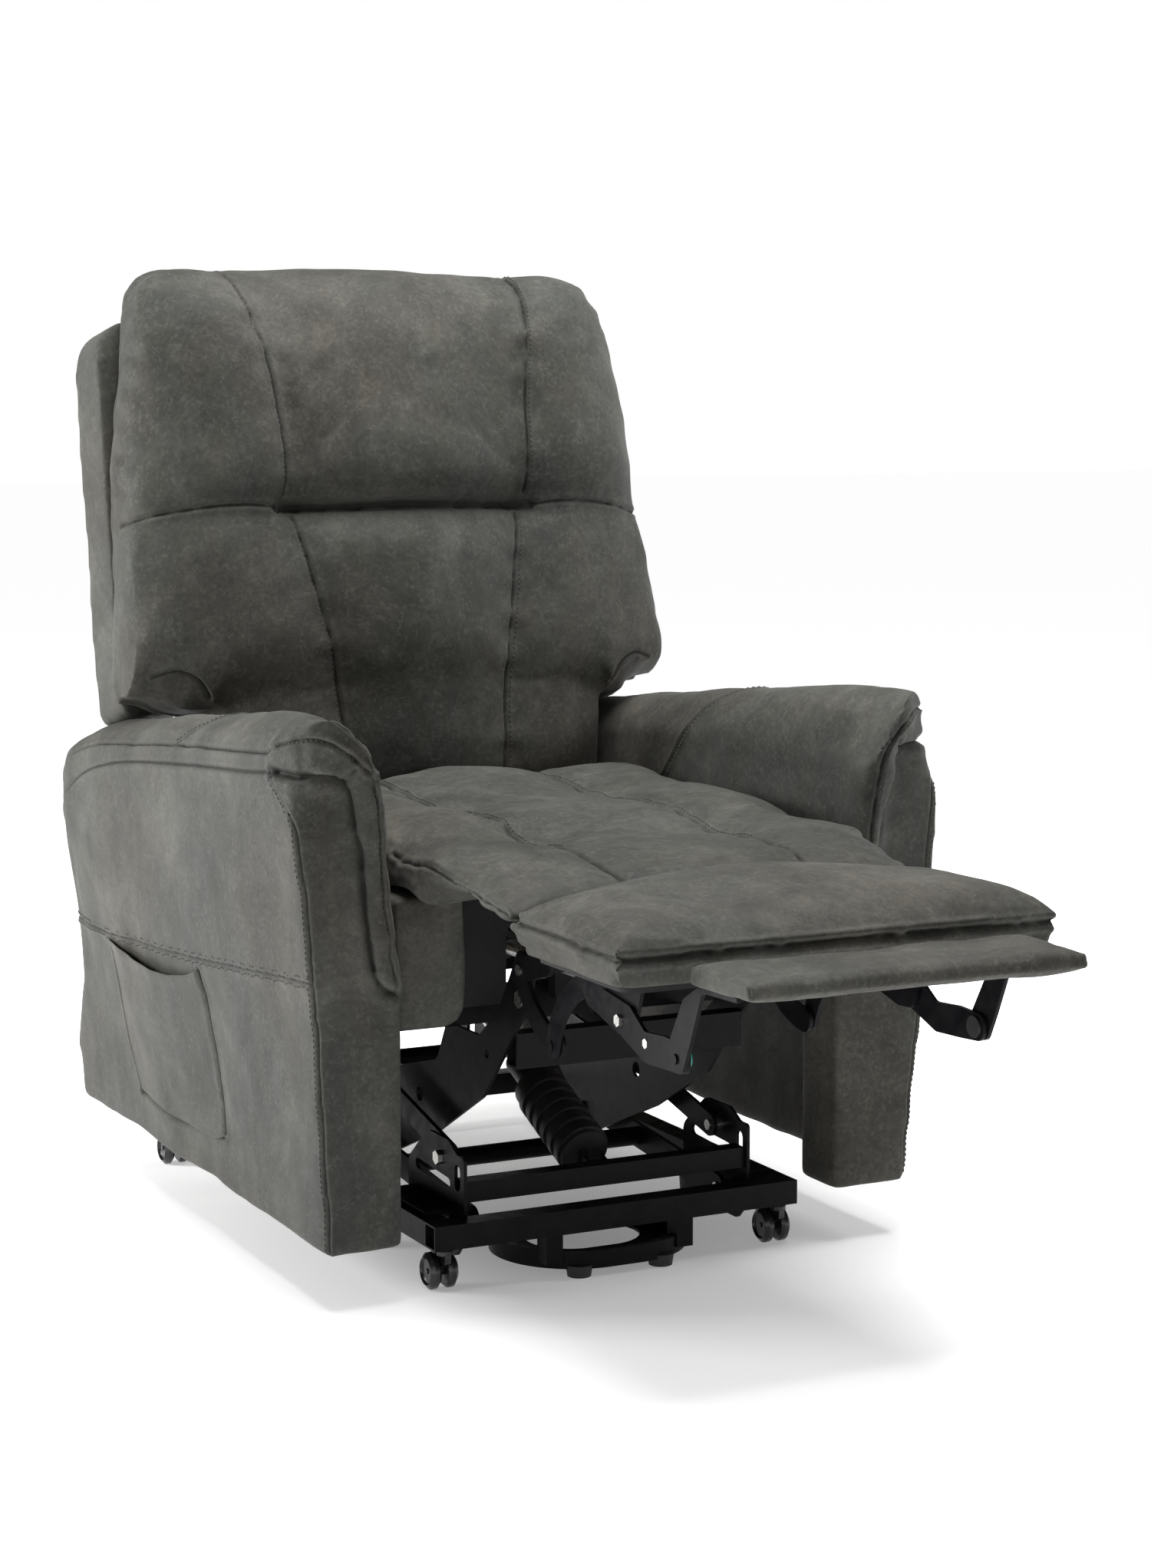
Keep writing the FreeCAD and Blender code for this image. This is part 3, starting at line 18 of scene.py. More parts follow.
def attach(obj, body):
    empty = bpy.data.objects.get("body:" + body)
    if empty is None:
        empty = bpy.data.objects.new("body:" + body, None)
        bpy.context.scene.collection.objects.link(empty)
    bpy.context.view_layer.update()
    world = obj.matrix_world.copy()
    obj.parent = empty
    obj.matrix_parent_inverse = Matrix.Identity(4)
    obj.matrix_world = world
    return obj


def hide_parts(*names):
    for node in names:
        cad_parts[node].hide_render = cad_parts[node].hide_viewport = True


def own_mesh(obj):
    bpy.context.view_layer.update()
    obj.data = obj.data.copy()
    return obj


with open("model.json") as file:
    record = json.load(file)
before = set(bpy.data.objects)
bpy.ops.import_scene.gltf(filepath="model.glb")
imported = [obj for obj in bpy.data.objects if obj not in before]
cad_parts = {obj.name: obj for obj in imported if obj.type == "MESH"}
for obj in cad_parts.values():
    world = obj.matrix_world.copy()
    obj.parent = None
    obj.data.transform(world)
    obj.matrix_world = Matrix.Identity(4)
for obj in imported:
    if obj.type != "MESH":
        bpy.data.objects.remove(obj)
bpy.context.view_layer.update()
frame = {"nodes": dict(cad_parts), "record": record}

nodes = frame["nodes"]

# %% [markdown]
# The chair was drawn in millimetres with y counted from the front of its arms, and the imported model
# is in metres and centred on the floor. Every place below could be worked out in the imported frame,
# but then no number would match the drawing. Two small helpers let this notebook speak its
# language: one for places on the chair, and one for places on its back, which leans.

# %% Places on the chair and on its leaning back
ARM_FRONT = 0.156                  # metres from the arms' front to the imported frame's origin
LEAN = math.radians(9.4)
COS = math.cos(LEAN)
SIN = math.sin(LEAN)


def at(x, y, z):
    """A place in millimetres, y from the arms' front plane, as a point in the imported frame."""
    return Vector((x / 1000, y / 1000 - ARM_FRONT, z / 1000))


def on_back(x, v, w):
    """A place in the back's own frame: v runs rearwards through it, w runs up along it."""
    return at(x, v * COS + w * SIN, w * COS - v * SIN)


BACK_OUT = Vector((0, COS, -SIN))
BACK_UP = Vector((0, SIN, COS))
print("the back leans", round(math.degrees(LEAN), 1), "degrees")

# %% [markdown]
# The camera stands before the chair and to its right, a little below the top of its back, and looks
# a little down. A wide lens close by would make the legrest huge, so a long lens stands well back
# and keeps the arms nearly parallel. Its place and tilt were fitted to straight edges that are easy
# to find in a picture: those of the arms and of the floor frame.

# %% Camera
camera_data = bpy.data.cameras.new("camera")
camera_data.lens = 69.85           # with the place and tilt below, fitted to the photograph's edges
camera_data.sensor_width = 36.0
camera = bpy.data.objects.new("camera", camera_data)
camera.location = at(-1489.7, -2851.1, 943.6)
camera.rotation_euler = (math.radians(90 - 7.21), 0, math.radians(-26.58))
bpy.context.scene.collection.objects.link(camera)
bpy.context.scene.camera = camera
print("camera at", [round(c, 3) for c in camera.location])

# %% [markdown]
# A studio is mostly soft light. A picture of a real studio could light the scene, but a ramp on the
# sky's height is enough and needs no file. The surround is white near the horizon, like a
# photographer's paper sweep, and darker overhead, so that the shape of the chair comes from a few
# broad lamps.

# %% Surround
view = bpy.context.scene.view_settings
view.view_transform = "Standard"
view.look = "None"

world = bpy.data.worlds.new("studio")
bpy.context.scene.world = world
world.use_nodes = True
air = world.node_tree
surround = air.nodes["Background"]
surround.inputs["Strength"].default_value = 1.0
sky_place = air.nodes.new("ShaderNodeTexCoord")
sky_parts = air.nodes.new("ShaderNodeSeparateXYZ")
sky_ramp = air.nodes.new("ShaderNodeValToRGB")
air.links.new(sky_place.outputs["Generated"], sky_parts.inputs["Vector"])
air.links.new(sky_parts.outputs["Z"], sky_ramp.inputs["Fac"])
air.links.new(sky_ramp.outputs["Color"], surround.inputs["Color"])
WHITE_UP_TO = 0.15                 # heights on the sky, from 0 at the horizon to 1 overhead
DARK_FROM = 0.26
SKY_DARK = 0.11
white, dark = sky_ramp.color_ramp.elements
white.position = WHITE_UP_TO
white.color = (1, 1, 1, 1)
dark.position = DARK_FROM
dark.color = (SKY_DARK, SKY_DARK, SKY_DARK, 1)


# %% Lamps and floor
def light_panel(name, place, aim, width, height, power):
    """A soft rectangular light at a place, facing another place."""
    data = bpy.data.lights.new(name, "AREA")
    data.shape = "RECTANGLE"
    data.size = width
    data.size_y = height
    data.energy = power
    lamp = bpy.data.objects.new(name, data)
    lamp.location = place
    lamp.rotation_euler = (aim - place).to_track_quat("-Z", "Y").to_euler()
    bpy.context.scene.collection.objects.link(lamp)


middle = at(0, 200, 600)
light_panel("top_light", Vector((0.1, 0.05, 3.2)), middle, 2.0, 2.0, 160)
light_panel("left_light", Vector((-2.4, 1.3, 0.95)), middle, 1.0, 1.0, 84)
light_panel("right_light", Vector((2.6, -0.2, 1.9)), middle, 0.8, 1.2, 30)

bm = bmesh.new()
bmesh.ops.create_grid(bm, x_segments=1, y_segments=1, size=30)
floor_mesh = bpy.data.meshes.new("floor")
bm.to_mesh(floor_mesh)
bm.free()
floor = bpy.data.objects.new("floor", floor_mesh)
bpy.context.scene.collection.objects.link(floor)

# %% [markdown]
# Every finish is a small node tree on one Principled shader. Written out in full, each would repeat
# the same dozen lines, so this helper starts a material and adds the kinds of node that the
# finishes below share. All patterns read Object coordinates: they have the same size on every
# piece, and they stay on the piece when it moves.

# %% Start of a finish


class Finish:
    """A material with its shader, ready for texture nodes."""

    def __init__(self, name, colour, roughness, metallic=0.0):
        self.material = bpy.data.materials.new(name)
        self.material.use_nodes = True
        self.tree = self.material.node_tree
        self.shader = self.tree.nodes["Principled BSDF"]
        self.shader.inputs["Base Color"].default_value = (*colour, 1)
        self.shader.inputs["Roughness"].default_value = roughness
        self.shader.inputs["Metallic"].default_value = metallic
        self.place = self.tree.nodes.new("ShaderNodeTexCoord").outputs["Object"]

    def add(self, kind, **settings):
        """A new node with its settings."""
        node = self.tree.nodes.new(kind)
        for key, value in settings.items():
            setattr(node, key, value)
        return node

    def link(self, output, node_input):
        """Joins an output to an input."""
        self.tree.links.new(output, node_input)

    def noise(self, scale, detail=4.0, roughness=0.5, distortion=0.0):
        """Clouds of the given scale, from 0 to 1."""
        node = self.add("ShaderNodeTexNoise")
        node.inputs["Scale"].default_value = scale
        node.inputs["Detail"].default_value = detail
        node.inputs["Roughness"].default_value = roughness
        node.inputs["Distortion"].default_value = distortion
        self.link(self.place, node.inputs["Vector"])
        return node.outputs["Fac"]

    def ramp(self, value, stops):
        """Colours along a value: stops are (position, colour)."""
        node = self.add("ShaderNodeValToRGB")
        band = node.color_ramp
        while len(band.elements) < len(stops):
            band.elements.new(0.5)
        for element, (position, colour) in zip(band.elements, stops):
            grey = isinstance(colour, float)
            element.position = position
            element.color = (colour, colour, colour, 1) if grey else (*colour, 1)
        self.link(value, node.inputs["Fac"])
        return node.outputs["Color"]

    def mix(self, factor, first, second, mode="MIX"):
        """Two colours mixed by a factor, which is a number or an output."""
        node = self.add("ShaderNodeMix", data_type="RGBA", blend_type=mode)
        colour_sockets = (node.inputs[0], node.inputs[6], node.inputs[7])
        for socket, value in zip(colour_sockets, (factor, first, second)):
            if isinstance(value, (int, float)):
                socket.default_value = value
            elif isinstance(value, tuple):
                socket.default_value = (*value, 1)
            else:
                self.link(value, socket)
        return node.outputs[2]

    def math(self, kind, first, second):
        """Arithmetic on outputs or numbers."""
        node = self.add("ShaderNodeMath", operation=kind)
        for socket, value in zip(node.inputs, (first, second)):
            if isinstance(value, (int, float)):
                socket.default_value = value
            else:
                self.link(value, socket)
        return node.outputs[0]

    def bump(self, height, strength, distance):
        """Relief from a height, chained on any earlier relief."""
        node = self.add("ShaderNodeBump")
        node.inputs["Strength"].default_value = strength
        node.inputs["Distance"].default_value = distance
        self.link(height, node.inputs["Height"])
        before = self.shader.inputs["Normal"].links
        if before:
            self.link(before[0].from_socket, node.inputs["Normal"])
        self.link(node.outputs["Normal"], self.shader.inputs["Normal"])


# %% [markdown]
# The cover is a suede-like cloth that was rubbed and waxed, so its colour drifts in soft clouds,
# with paler scuffs, hair-fine cracks and a fine nap. A picture of such cloth would show where it
# repeats, and noise doesn't. Clouds of several scales give the drift, one drawn out along z gives
# the brushed nap, one through a narrow ramp gives the cracks, and two bumps give the touch. Where a
# piece carries a "seam" value on its points, the cover pales beside the seam, where it rubs, and
# painted shade darkens it in the seam's groove.

# %% Suede
SUEDE_DARK = (0.030, 0.0304, 0.0275)
SUEDE_MID = (0.048, 0.0484, 0.0442)
SUEDE_PALE = (0.092, 0.092, 0.085)


def suede_colour(finish):
    """Soft clouds of three tones, blots, and a nap that was brushed downwards."""
    drift = finish.noise(7.0, 9.0, 0.66, 0.6)
    colour = finish.ramp(drift, [(0.26, SUEDE_DARK), (0.50, SUEDE_MID), (0.80, SUEDE_PALE)])
    blot = finish.noise(46.0, 10.0, 0.72, 0.9)
    blots = finish.ramp(blot, [(0.34, 0.80), (0.52, 0.99), (0.68, 1.20)])
    colour = finish.mix(0.9, colour, blots, "MULTIPLY")
    brush = finish.add("ShaderNodeMapping")
    brush.inputs["Scale"].default_value = (34.0, 34.0, 7.0)
    finish.link(finish.place, brush.inputs["Vector"])
    streak = finish.add("ShaderNodeTexNoise")
    streak.inputs["Scale"].default_value = 1.0
    streak.inputs["Detail"].default_value = 7.0
    streak.inputs["Roughness"].default_value = 0.66
    finish.link(brush.outputs["Vector"], streak.inputs["Vector"])
    nap = finish.ramp(streak.outputs["Fac"],
                      [(0.34, (0.90, 0.92, 0.93)), (0.66, (1.14, 1.09, 1.03))])
    return finish.mix(0.8, colour, nap, "MULTIPLY"), blot


def suede_wear(finish, colour):
    """Fine pale cracks, a fine grain and a faint warm or cold tint."""
    vein = finish.noise(15.0, 14.0, 0.74, 1.6)
    veins = finish.ramp(vein, [(0.474, 0.0), (0.498, 1.0), (0.522, 0.0)])
    fine = finish.noise(190.0, 6.0, 0.7)
    broken = finish.math("MULTIPLY", veins, finish.ramp(fine, [(0.44, 0.0), (0.60, 1.0)]))
    crack = tuple(c * 1.3 for c in SUEDE_PALE)
    colour = finish.mix(finish.math("MULTIPLY", broken, 0.34), colour, crack)
    grain = finish.ramp(fine, [(0.32, 0.80), (0.68, 1.17)])
    colour = finish.mix(0.9, colour, grain, "MULTIPLY")
    warm = finish.noise(3.1, 3.0, 0.5)
    tint = finish.ramp(warm, [(0.40, (0.97, 1.0, 0.99)), (0.62, (1.05, 1.0, 0.95))])
    return finish.mix(1.0, colour, tint, "MULTIPLY")


def suede_seams(finish, colour):
    """Pale beside a seam, where the cover rubs, and painted shade in its groove."""
    mark = finish.add("ShaderNodeAttribute", attribute_name="seam").outputs["Fac"]
    rubbed = finish.ramp(mark, [(0.02, 0.0), (0.25, 1.0), (0.55, 0.0)])
    # painted shade: near black in the seam's groove, where shade falls
    painted_seam_shade = finish.ramp(mark, [(0.55, 0.0), (0.95, 1.0)])
    colour = finish.mix(finish.math("MULTIPLY", rubbed, 0.18), colour, SUEDE_PALE)
    return finish.mix(finish.math("MULTIPLY", painted_seam_shade, 0.85), colour, (0.012, 0.012, 0.011))


def suede(name):
    """The chair's cover."""
    finish = Finish(name, SUEDE_MID, 0.6)
    colour, blot = suede_colour(finish)
    colour = suede_seams(finish, suede_wear(finish, colour))
    finish.link(colour, finish.shader.inputs["Base Color"])
    finish.link(finish.ramp(blot, [(0.30, 0.50), (0.70, 0.66)]), finish.shader.inputs["Roughness"])
    finish.shader.inputs["Specular IOR Level"].default_value = 0.09
    finish.shader.inputs["Sheen Weight"].default_value = 0.05
    finish.shader.inputs["Sheen Roughness"].default_value = 0.45
    finish.bump(blot, 0.16, 0.004)
    finish.bump(finish.noise(1000.0, 3.0, 0.6), 0.22, 0.0006)
    return finish.material


cover = suede("suede")
thread = Finish("thread", (0.030, 0.030, 0.028), 0.7)
thread.bump(thread.noise(2600.0, 2.0), 0.4, 0.0004)
thread = thread.material
print("finish:", cover.name, len(cover.node_tree.nodes), "nodes")

# %% [markdown]
# The steel is powder coated: black, with a fine orange-peel skin. Zinc bolts are bright with a
# faint grain, castors and motors are moulded plastic, and the rails are bare timber. One plain
# colour each would look like a drawing, so every finish has a noise in its colour, its gloss or
# its relief. Each kind of surface is one function: two metals or two plastics differ only in the
# numbers that it is given.

# %% Powder coat and bright metal


def powder_coat(name):
    """Black powder coat, with a fine skin and a gloss that varies where it was rubbed."""
    finish = Finish(name, (0.009, 0.009, 0.010), 0.36)
    rub = finish.noise(60.0, 6.0, 0.65)
    finish.link(finish.ramp(rub, [(0.35, 0.28), (0.70, 0.46)]), finish.shader.inputs["Roughness"])
    finish.link(finish.ramp(rub, [(0.3, (0.004, 0.004, 0.005)), (0.75, (0.009, 0.009, 0.010))]),
                finish.shader.inputs["Base Color"])
    finish.shader.inputs["Specular IOR Level"].default_value = 0.07
    finish.bump(finish.noise(700.0, 2.0), 0.12, 0.0005)
    return finish.material


def bright_zinc(name, dark=(0.50, 0.49, 0.46), pale=(0.72, 0.71, 0.68)):
    """Bare or plated metal with a grain between a dark and a pale tone."""
    finish = Finish(name, pale, 0.28, 1.0)
    grain = finish.noise(240.0, 6.0, 0.7)
    finish.link(finish.ramp(grain, [(0.3, 0.22), (0.7, 0.40)]), finish.shader.inputs["Roughness"])
    finish.link(finish.ramp(grain, [(0.3, dark), (0.7, pale)]), finish.shader.inputs["Base Color"])
    finish.bump(grain, 0.06, 0.0004)
    return finish.material


steel = powder_coat("powder_coat")
zinc = bright_zinc("zinc")
spring_steel = bright_zinc("spring_steel", (0.10, 0.10, 0.10), (0.24, 0.24, 0.25))
print("metals:", steel.name, zinc.name, spring_steel.name)


# %% Plastic, timber and dust cloth
def moulded(name, colour, roughness):
    """Plastic or rubber with a faint haze."""
    finish = Finish(name, colour, roughness)
    haze = finish.noise(45.0, 5.0, 0.6)
    finish.link(finish.ramp(haze, [(0.3, roughness - 0.06), (0.7, roughness + 0.08)]),
                finish.shader.inputs["Roughness"])
    dull = tuple(c * 0.8 for c in colour)
    clear = tuple(c * 1.25 for c in colour)
    finish.link(finish.ramp(haze, [(0.3, dull), (0.7, clear)]), finish.shader.inputs["Base Color"])
    finish.bump(finish.noise(1100.0, 2.0), 0.08, 0.0003)
    return finish.material


def grained(name, dark, pale, stretch, roughness):
    """A finish whose pattern is drawn out along y, for timber and for woven dust cloth."""
    finish = Finish(name, pale, roughness)
    mapping = finish.add("ShaderNodeMapping")
    mapping.inputs["Scale"].default_value = stretch
    finish.link(finish.place, mapping.inputs["Vector"])
    rings = finish.add("ShaderNodeTexNoise")
    rings.inputs["Scale"].default_value = 1.0
    rings.inputs["Detail"].default_value = 6.0
    finish.link(mapping.outputs["Vector"], rings.inputs["Vector"])
    ring = rings.outputs["Fac"]
    finish.link(finish.ramp(ring, [(0.3, dark), (0.7, pale)]), finish.shader.inputs["Base Color"])
    finish.bump(ring, 0.2, 0.0006)
    return finish.material


castor_gloss = moulded("castor_gloss", (0.010, 0.010, 0.011), 0.20)
motor_plastic = moulded("motor_plastic", (0.016, 0.016, 0.017), 0.42)
rubber = moulded("rubber", (0.020, 0.020, 0.020), 0.66)
timber = grained("timber", (0.30, 0.20, 0.11), (0.50, 0.37, 0.23), (60.0, 3.0, 60.0), 0.62)
dust_cloth = grained("dust_cloth", (0.006, 0.006, 0.006), (0.016, 0.016, 0.016),
                     (900.0, 400.0, 900.0), 0.9)
print("plastics:", castor_gloss.name, motor_plastic.name, rubber.name)

# %% [markdown]
# The flap's hinges turn on plastic washers, teal on the chair's right side and black on its left.
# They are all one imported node, and a node has one finish, so this one tells the sides apart by x.
# Two materials on one mesh would also do, but its faces would have to be sorted first.

# %% Washers
teal = Finish("teal_plastic", (0.004, 0.22, 0.17), 0.36)
sides = teal.add("ShaderNodeSeparateXYZ")
teal.link(teal.place, sides.inputs["Vector"])
near_side = teal.math("LESS_THAN", sides.outputs["X"], 0.0)
haze = teal.ramp(teal.noise(45.0, 5.0, 0.6),
                 [(0.3, (0.003, 0.17, 0.13)), (0.7, (0.006, 0.26, 0.20))])
teal.link(teal.mix(near_side, (0.012, 0.012, 0.012), haze), teal.shader.inputs["Base Color"])
teal.bump(teal.noise(1100.0, 2.0), 0.08, 0.0003)
teal = teal.material
print("washers:", teal.name)

# %% [markdown]
# The floor is matt paper that the whole white sweep lights. Under lamps alone it goes grey, and a
# brighter lamp would bleach the chair. So the paper glows a little, and least under the chair,
# where a real floor is in shade.

# %% Floor paper
paper = Finish("floor_paper", (0.82, 0.82, 0.82), 0.92)
paper.bump(paper.noise(3.0), 0.02, 0.001)
paper.shader.inputs["Specular IOR Level"].default_value = 0.1
GLOW_REACH = 6                     # metres that the ramp below spans, out from under the chair
spread = paper.add("ShaderNodeVectorMath", operation="LENGTH")
paper.link(paper.place, spread.inputs[0])
far_off = paper.math("MULTIPLY", spread.outputs["Value"], 1 / GLOW_REACH)
glow = paper.ramp(far_off, [(0.0, 0.22), (0.09, 0.46), (0.16, 1.0)])
paper.link(glow, paper.shader.inputs["Emission Color"])
paper.shader.inputs["Emission Strength"].default_value = 0.85
floor.data.materials.append(paper.material)
print("floor:", paper.material.name)

# %% One finish for each slot
finish_of_slot = {
    "black_steel": steel, "zinc": zinc, "castor_plastic": castor_gloss, "rubber": rubber,
    "timber": timber, "motor_plastic": motor_plastic, "washer_plastic": teal,
    "spring_wire": spring_steel, "suede": cover, "foam_cover": cover,
}
for row in frame["record"]["subparts"]:
    part = nodes[row["node"]]
    part.data.materials.clear()
    part.data.materials.append(finish_of_slot[row["material_slot"]])
for node in ("calf_board", "front_rail"):
    nodes[node].data.materials[0] = dust_cloth

# %% [markdown]
# ## Padded pieces
# A real cushion is a cut and sewn cover pulled over foam. It could be sculpted, or sewn in the
# computer from flat panels. But its solid from the drawing already has the right crown and
# channels, so each padded piece starts as a copy of that solid, is remeshed into even small faces,
# and is blown up as cloth that is held still at its seams. A cap on the travel keeps it inside its
# space. A thick cushion gets a higher cap than a tight pad does.

# %% Copy and remesh
VOXEL = {"back": 0.0075, "seat": 0.0075, "calf": 0.0065, "flap": 0.0040, "arm": 0.0080,
         "shell": 0.0075, "blocks": 0.0050}
PUFF = {"back": (0.016, 4.0), "seat": (0.014, 4.0), "calf": (0.012, 4.0), "flap": (0.0035, 3.0),
        "arm": (0.008, 3.0)}       # the furthest travel in metres, and the pressure


def link(name, mesh):
    """A new object for a mesh, in the scene."""
    piece = bpy.data.objects.new(name, mesh)
    bpy.context.scene.collection.objects.link(piece)
    return piece


def settle(piece):
    """Makes what the modifiers show into the piece's own mesh."""
    graph = bpy.context.evaluated_depsgraph_get()
    graph.update()
    mesh = bpy.data.meshes.new_from_object(piece.evaluated_get(graph))
    old = piece.data
    piece.modifiers.clear()
    piece.data = mesh
    mesh.name = piece.name
    bpy.data.meshes.remove(old)


def copy_solid(names, name):
    """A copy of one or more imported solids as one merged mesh."""
    bm = bmesh.new()
    for node in names:
        bm.from_mesh(nodes[node].data)
    bmesh.ops.remove_doubles(bm, verts=bm.verts, dist=1e-5)
    mesh = bpy.data.meshes.new(name)
    bm.to_mesh(mesh)
    bm.free()
    return link(name, mesh)


def remesh(piece, voxel):
    """Rebuilds a piece from even small faces of the voxel's size."""
    tool = piece.modifiers.new("remesh", "REMESH")
    tool.mode = "VOXEL"
    tool.voxel_size = voxel
    settle(piece)


# %% Points of a mesh
def points_of(piece):
    """A piece's points as rows of x, y and z."""
    flat = np.empty(len(piece.data.vertices) * 3)
    piece.data.vertices.foreach_get("co", flat)
    return flat.reshape(-1, 3)


def normals_of(piece):
    """The outward direction at each of a piece's points."""
    flat = np.empty(len(piece.data.vertices) * 3)
    piece.data.vertex_normals.foreach_get("vector", flat)
    return flat.reshape(-1, 3)


def move_points(piece, points):
    """Puts a piece's points somewhere else."""
    piece.data.vertices.foreach_set("co", np.asarray(points, dtype=np.float64).ravel())
    piece.data.update()


# %% Weights, smoothing and finer faces
def hold(piece, name, weights):
    """Makes a vertex group from an array of weights, in ten steps."""
    group = piece.vertex_groups.new(name=name)
    steps = np.round(np.clip(weights, 0, 1) * 10).astype(int)
    for step in range(1, 11):
        group.add([int(i) for i in np.nonzero(steps == step)[0]], step / 10, "REPLACE")


def smooth(piece, rounds, weights=None):
    """Evens a piece out, everywhere or by weights."""
    tool = piece.modifiers.new("smooth", "SMOOTH")
    tool.iterations = rounds
    tool.factor = 0.5
    if weights is not None:
        hold(piece, "smooth", weights)
        tool.vertex_group = "smooth"
    settle(piece)
    piece.vertex_groups.clear()


def subdivide(piece):
    """Divides every face in four and rounds the mesh."""
    tool = piece.modifiers.new("subdivide", "SUBSURF")
    tool.levels = 1
    tool.render_levels = 1
    settle(piece)


# %% Blow up as cloth
LAST_FRAME = 20


def blow_up(piece, cap, pressure, held):
    """Inflates the piece as cloth, with some points held still, and caps the travel."""
    start = points_of(piece)
    hold(piece, "held", held)
    cloth = piece.modifiers.new("cloth", "CLOTH")
    cloth.settings.quality = 4
    cloth.settings.mass = 0.3
    cloth.settings.tension_stiffness = 10
    cloth.settings.compression_stiffness = 10
    cloth.settings.shear_stiffness = 3
    cloth.settings.bending_stiffness = 0.5
    cloth.settings.use_pressure = True
    cloth.settings.uniform_pressure_force = pressure
    cloth.settings.effector_weights.gravity = 0
    cloth.settings.vertex_group_mass = "held"
    cloth.collision_settings.use_collision = False
    cloth.point_cache.frame_start = 1
    cloth.point_cache.frame_end = LAST_FRAME
    for moment in range(1, LAST_FRAME + 1):
        bpy.context.scene.frame_set(moment)
    settle(piece)
    bpy.context.scene.frame_set(1)
    piece.vertex_groups.clear()
    travel = points_of(piece) - start
    length = np.linalg.norm(travel, axis=1, keepdims=True)
    kept = cap * np.tanh(length / cap)
    move_points(piece, start + travel * kept / np.maximum(length, 1e-9))
    print("blew up", piece.name, "by up to", round(1000 * float(kept.max()), 1), "mm")


def dress(piece, body, slot, material, *replaced):
    """Hands a finished piece to its body and finish. The slot is not used."""
    piece.data.materials.clear()
    piece.data.materials.append(material)
    for face in piece.data.polygons:
        face.use_smooth = True
    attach(piece, body)
    if replaced:
        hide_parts(*replaced)


# %% [markdown]
# ## Seams
# A seam is a line where the cover is pulled into the padding. The mesh could be cut along it, but
# then the cut would have to fit each later change of shape. So a line is drawn with a few marks,
# made smooth, and dropped onto the padding. The mesh is made finer near it, then its points are
# pulled in and marked for the finish. A lapped seam also has one side that stands higher than the
# other, and a gathered one has short folds running from it.

# %% Lines on a surface


def curve_through(marks, step=4.0):
    """A smooth line of evenly spaced places through a few marks, in millimetres."""
    marks = [np.array(m, dtype=float) for m in marks]
    line = []
    ends = [2 * marks[0] - marks[1]] + marks + [2 * marks[-1] - marks[-2]]
    for a, b, c, d in zip(ends, ends[1:], ends[2:], ends[3:]):
        count = max(2, int(np.linalg.norm(c - b) / step))
        for t in np.linspace(0, 1, count, endpoint=False):
            line.append(0.5 * (2 * b + (c - a) * t + (2 * a - 5 * b + 4 * c - d) * t * t
                               + (3 * b - a - 3 * c + d) * t ** 3))
    line.append(marks[-1])
    return line


def tree_of(piece):
    """A piece's surface, ready to be searched for the nearest place or the first hit of a ray."""
    bm = bmesh.new()
    bm.from_mesh(piece.data)
    tree = BVHTree.FromBMesh(bm)
    bm.free()
    return tree


def cast_line(tree, starts, direction):
    """Where rays from the starts first meet a surface."""
    hits = []
    for start in starts:
        place, _, _, _ = tree.ray_cast(start, direction)
        if place is not None:
            hits.append(place)
    return hits


def drop_line(tree, starts):
    """The nearest places on a surface to the starts."""
    return [tree.find_nearest(start)[0] for start in starts]


def near_line(points, line, reach=0.05):
    """Each point's distance to a line, its run along it, and the line's place and heading."""
    line = np.array([tuple(p) for p in line])
    line = line[np.concatenate(([True], np.linalg.norm(np.diff(line, axis=0), axis=1) > 1e-6))]
    steps = np.diff(line, axis=0)
    lengths = np.linalg.norm(steps, axis=1)
    runs = np.concatenate(([0], np.cumsum(lengths)))
    gap = np.full(len(points), 1.0)
    run = np.zeros(len(points))
    where = np.zeros((len(points), 3))
    heading = np.zeros((len(points), 3))
    for first in range(0, len(steps), 8):
        last = min(first + 8, len(steps))
        low = line[first:last + 1].min(axis=0) - reach
        high = line[first:last + 1].max(axis=0) + reach
        close = np.nonzero(np.all((points > low) & (points < high), axis=1))[0]
        p = points[close]
        for i in range(first, last):
            share = np.clip((p - line[i]) @ steps[i] / lengths[i] ** 2, 0, 1)
            foot = line[i] + share[:, None] * steps[i]
            d = np.linalg.norm(p - foot, axis=1)
            closer = d < gap[close]
            hit = close[closer]
            gap[hit] = d[closer]
            run[hit] = runs[i] + share[closer] * lengths[i]
            where[hit] = foot[closer]
            heading[hit] = steps[i] / lengths[i]
    return gap, run, where, heading


def held_at(held, points, line, reach=0.008):
    """The held weights, and full weight within reach of a line as well."""
    return np.maximum(held, (near_line(points, line)[0] < reach) * 1.0)


# %% Finer mesh near the seams


def refine(piece, lines, reach):
    """Divides the faces near some lines, so that narrow seams can be carved."""
    points = points_of(piece)
    close = np.zeros(len(points), dtype=bool)
    for line in lines:
        close |= near_line(points, line, reach * 2)[0] < reach
    bm = bmesh.new()
    bm.from_mesh(piece.data)
    bm.verts.ensure_lookup_table()
    edges = [e for e in bm.edges if close[e.verts[0].index] and close[e.verts[1].index]]
    bmesh.ops.subdivide_edges(bm, edges=edges, cuts=1, use_grid_fill=True)
    bm.to_mesh(piece.data)
    bm.free()
    piece.data.update()


# %% Carving
LAP_WIDTH = 0.010                  # metres over which a lapped seam's upper side falls away
SOFT_WIDTH = 0.014                 # metres of a seam's wide dip, to each side


def mark_seam(piece, values):
    """Notes how near each point lies to a seam, for the finish to read."""
    layer = piece.data.attributes.get("seam") or piece.data.attributes.new("seam", "FLOAT", "POINT")
    old = np.empty(len(piece.data.vertices))
    layer.data.foreach_get("value", old)
    layer.data.foreach_set("value", np.maximum(old, values))


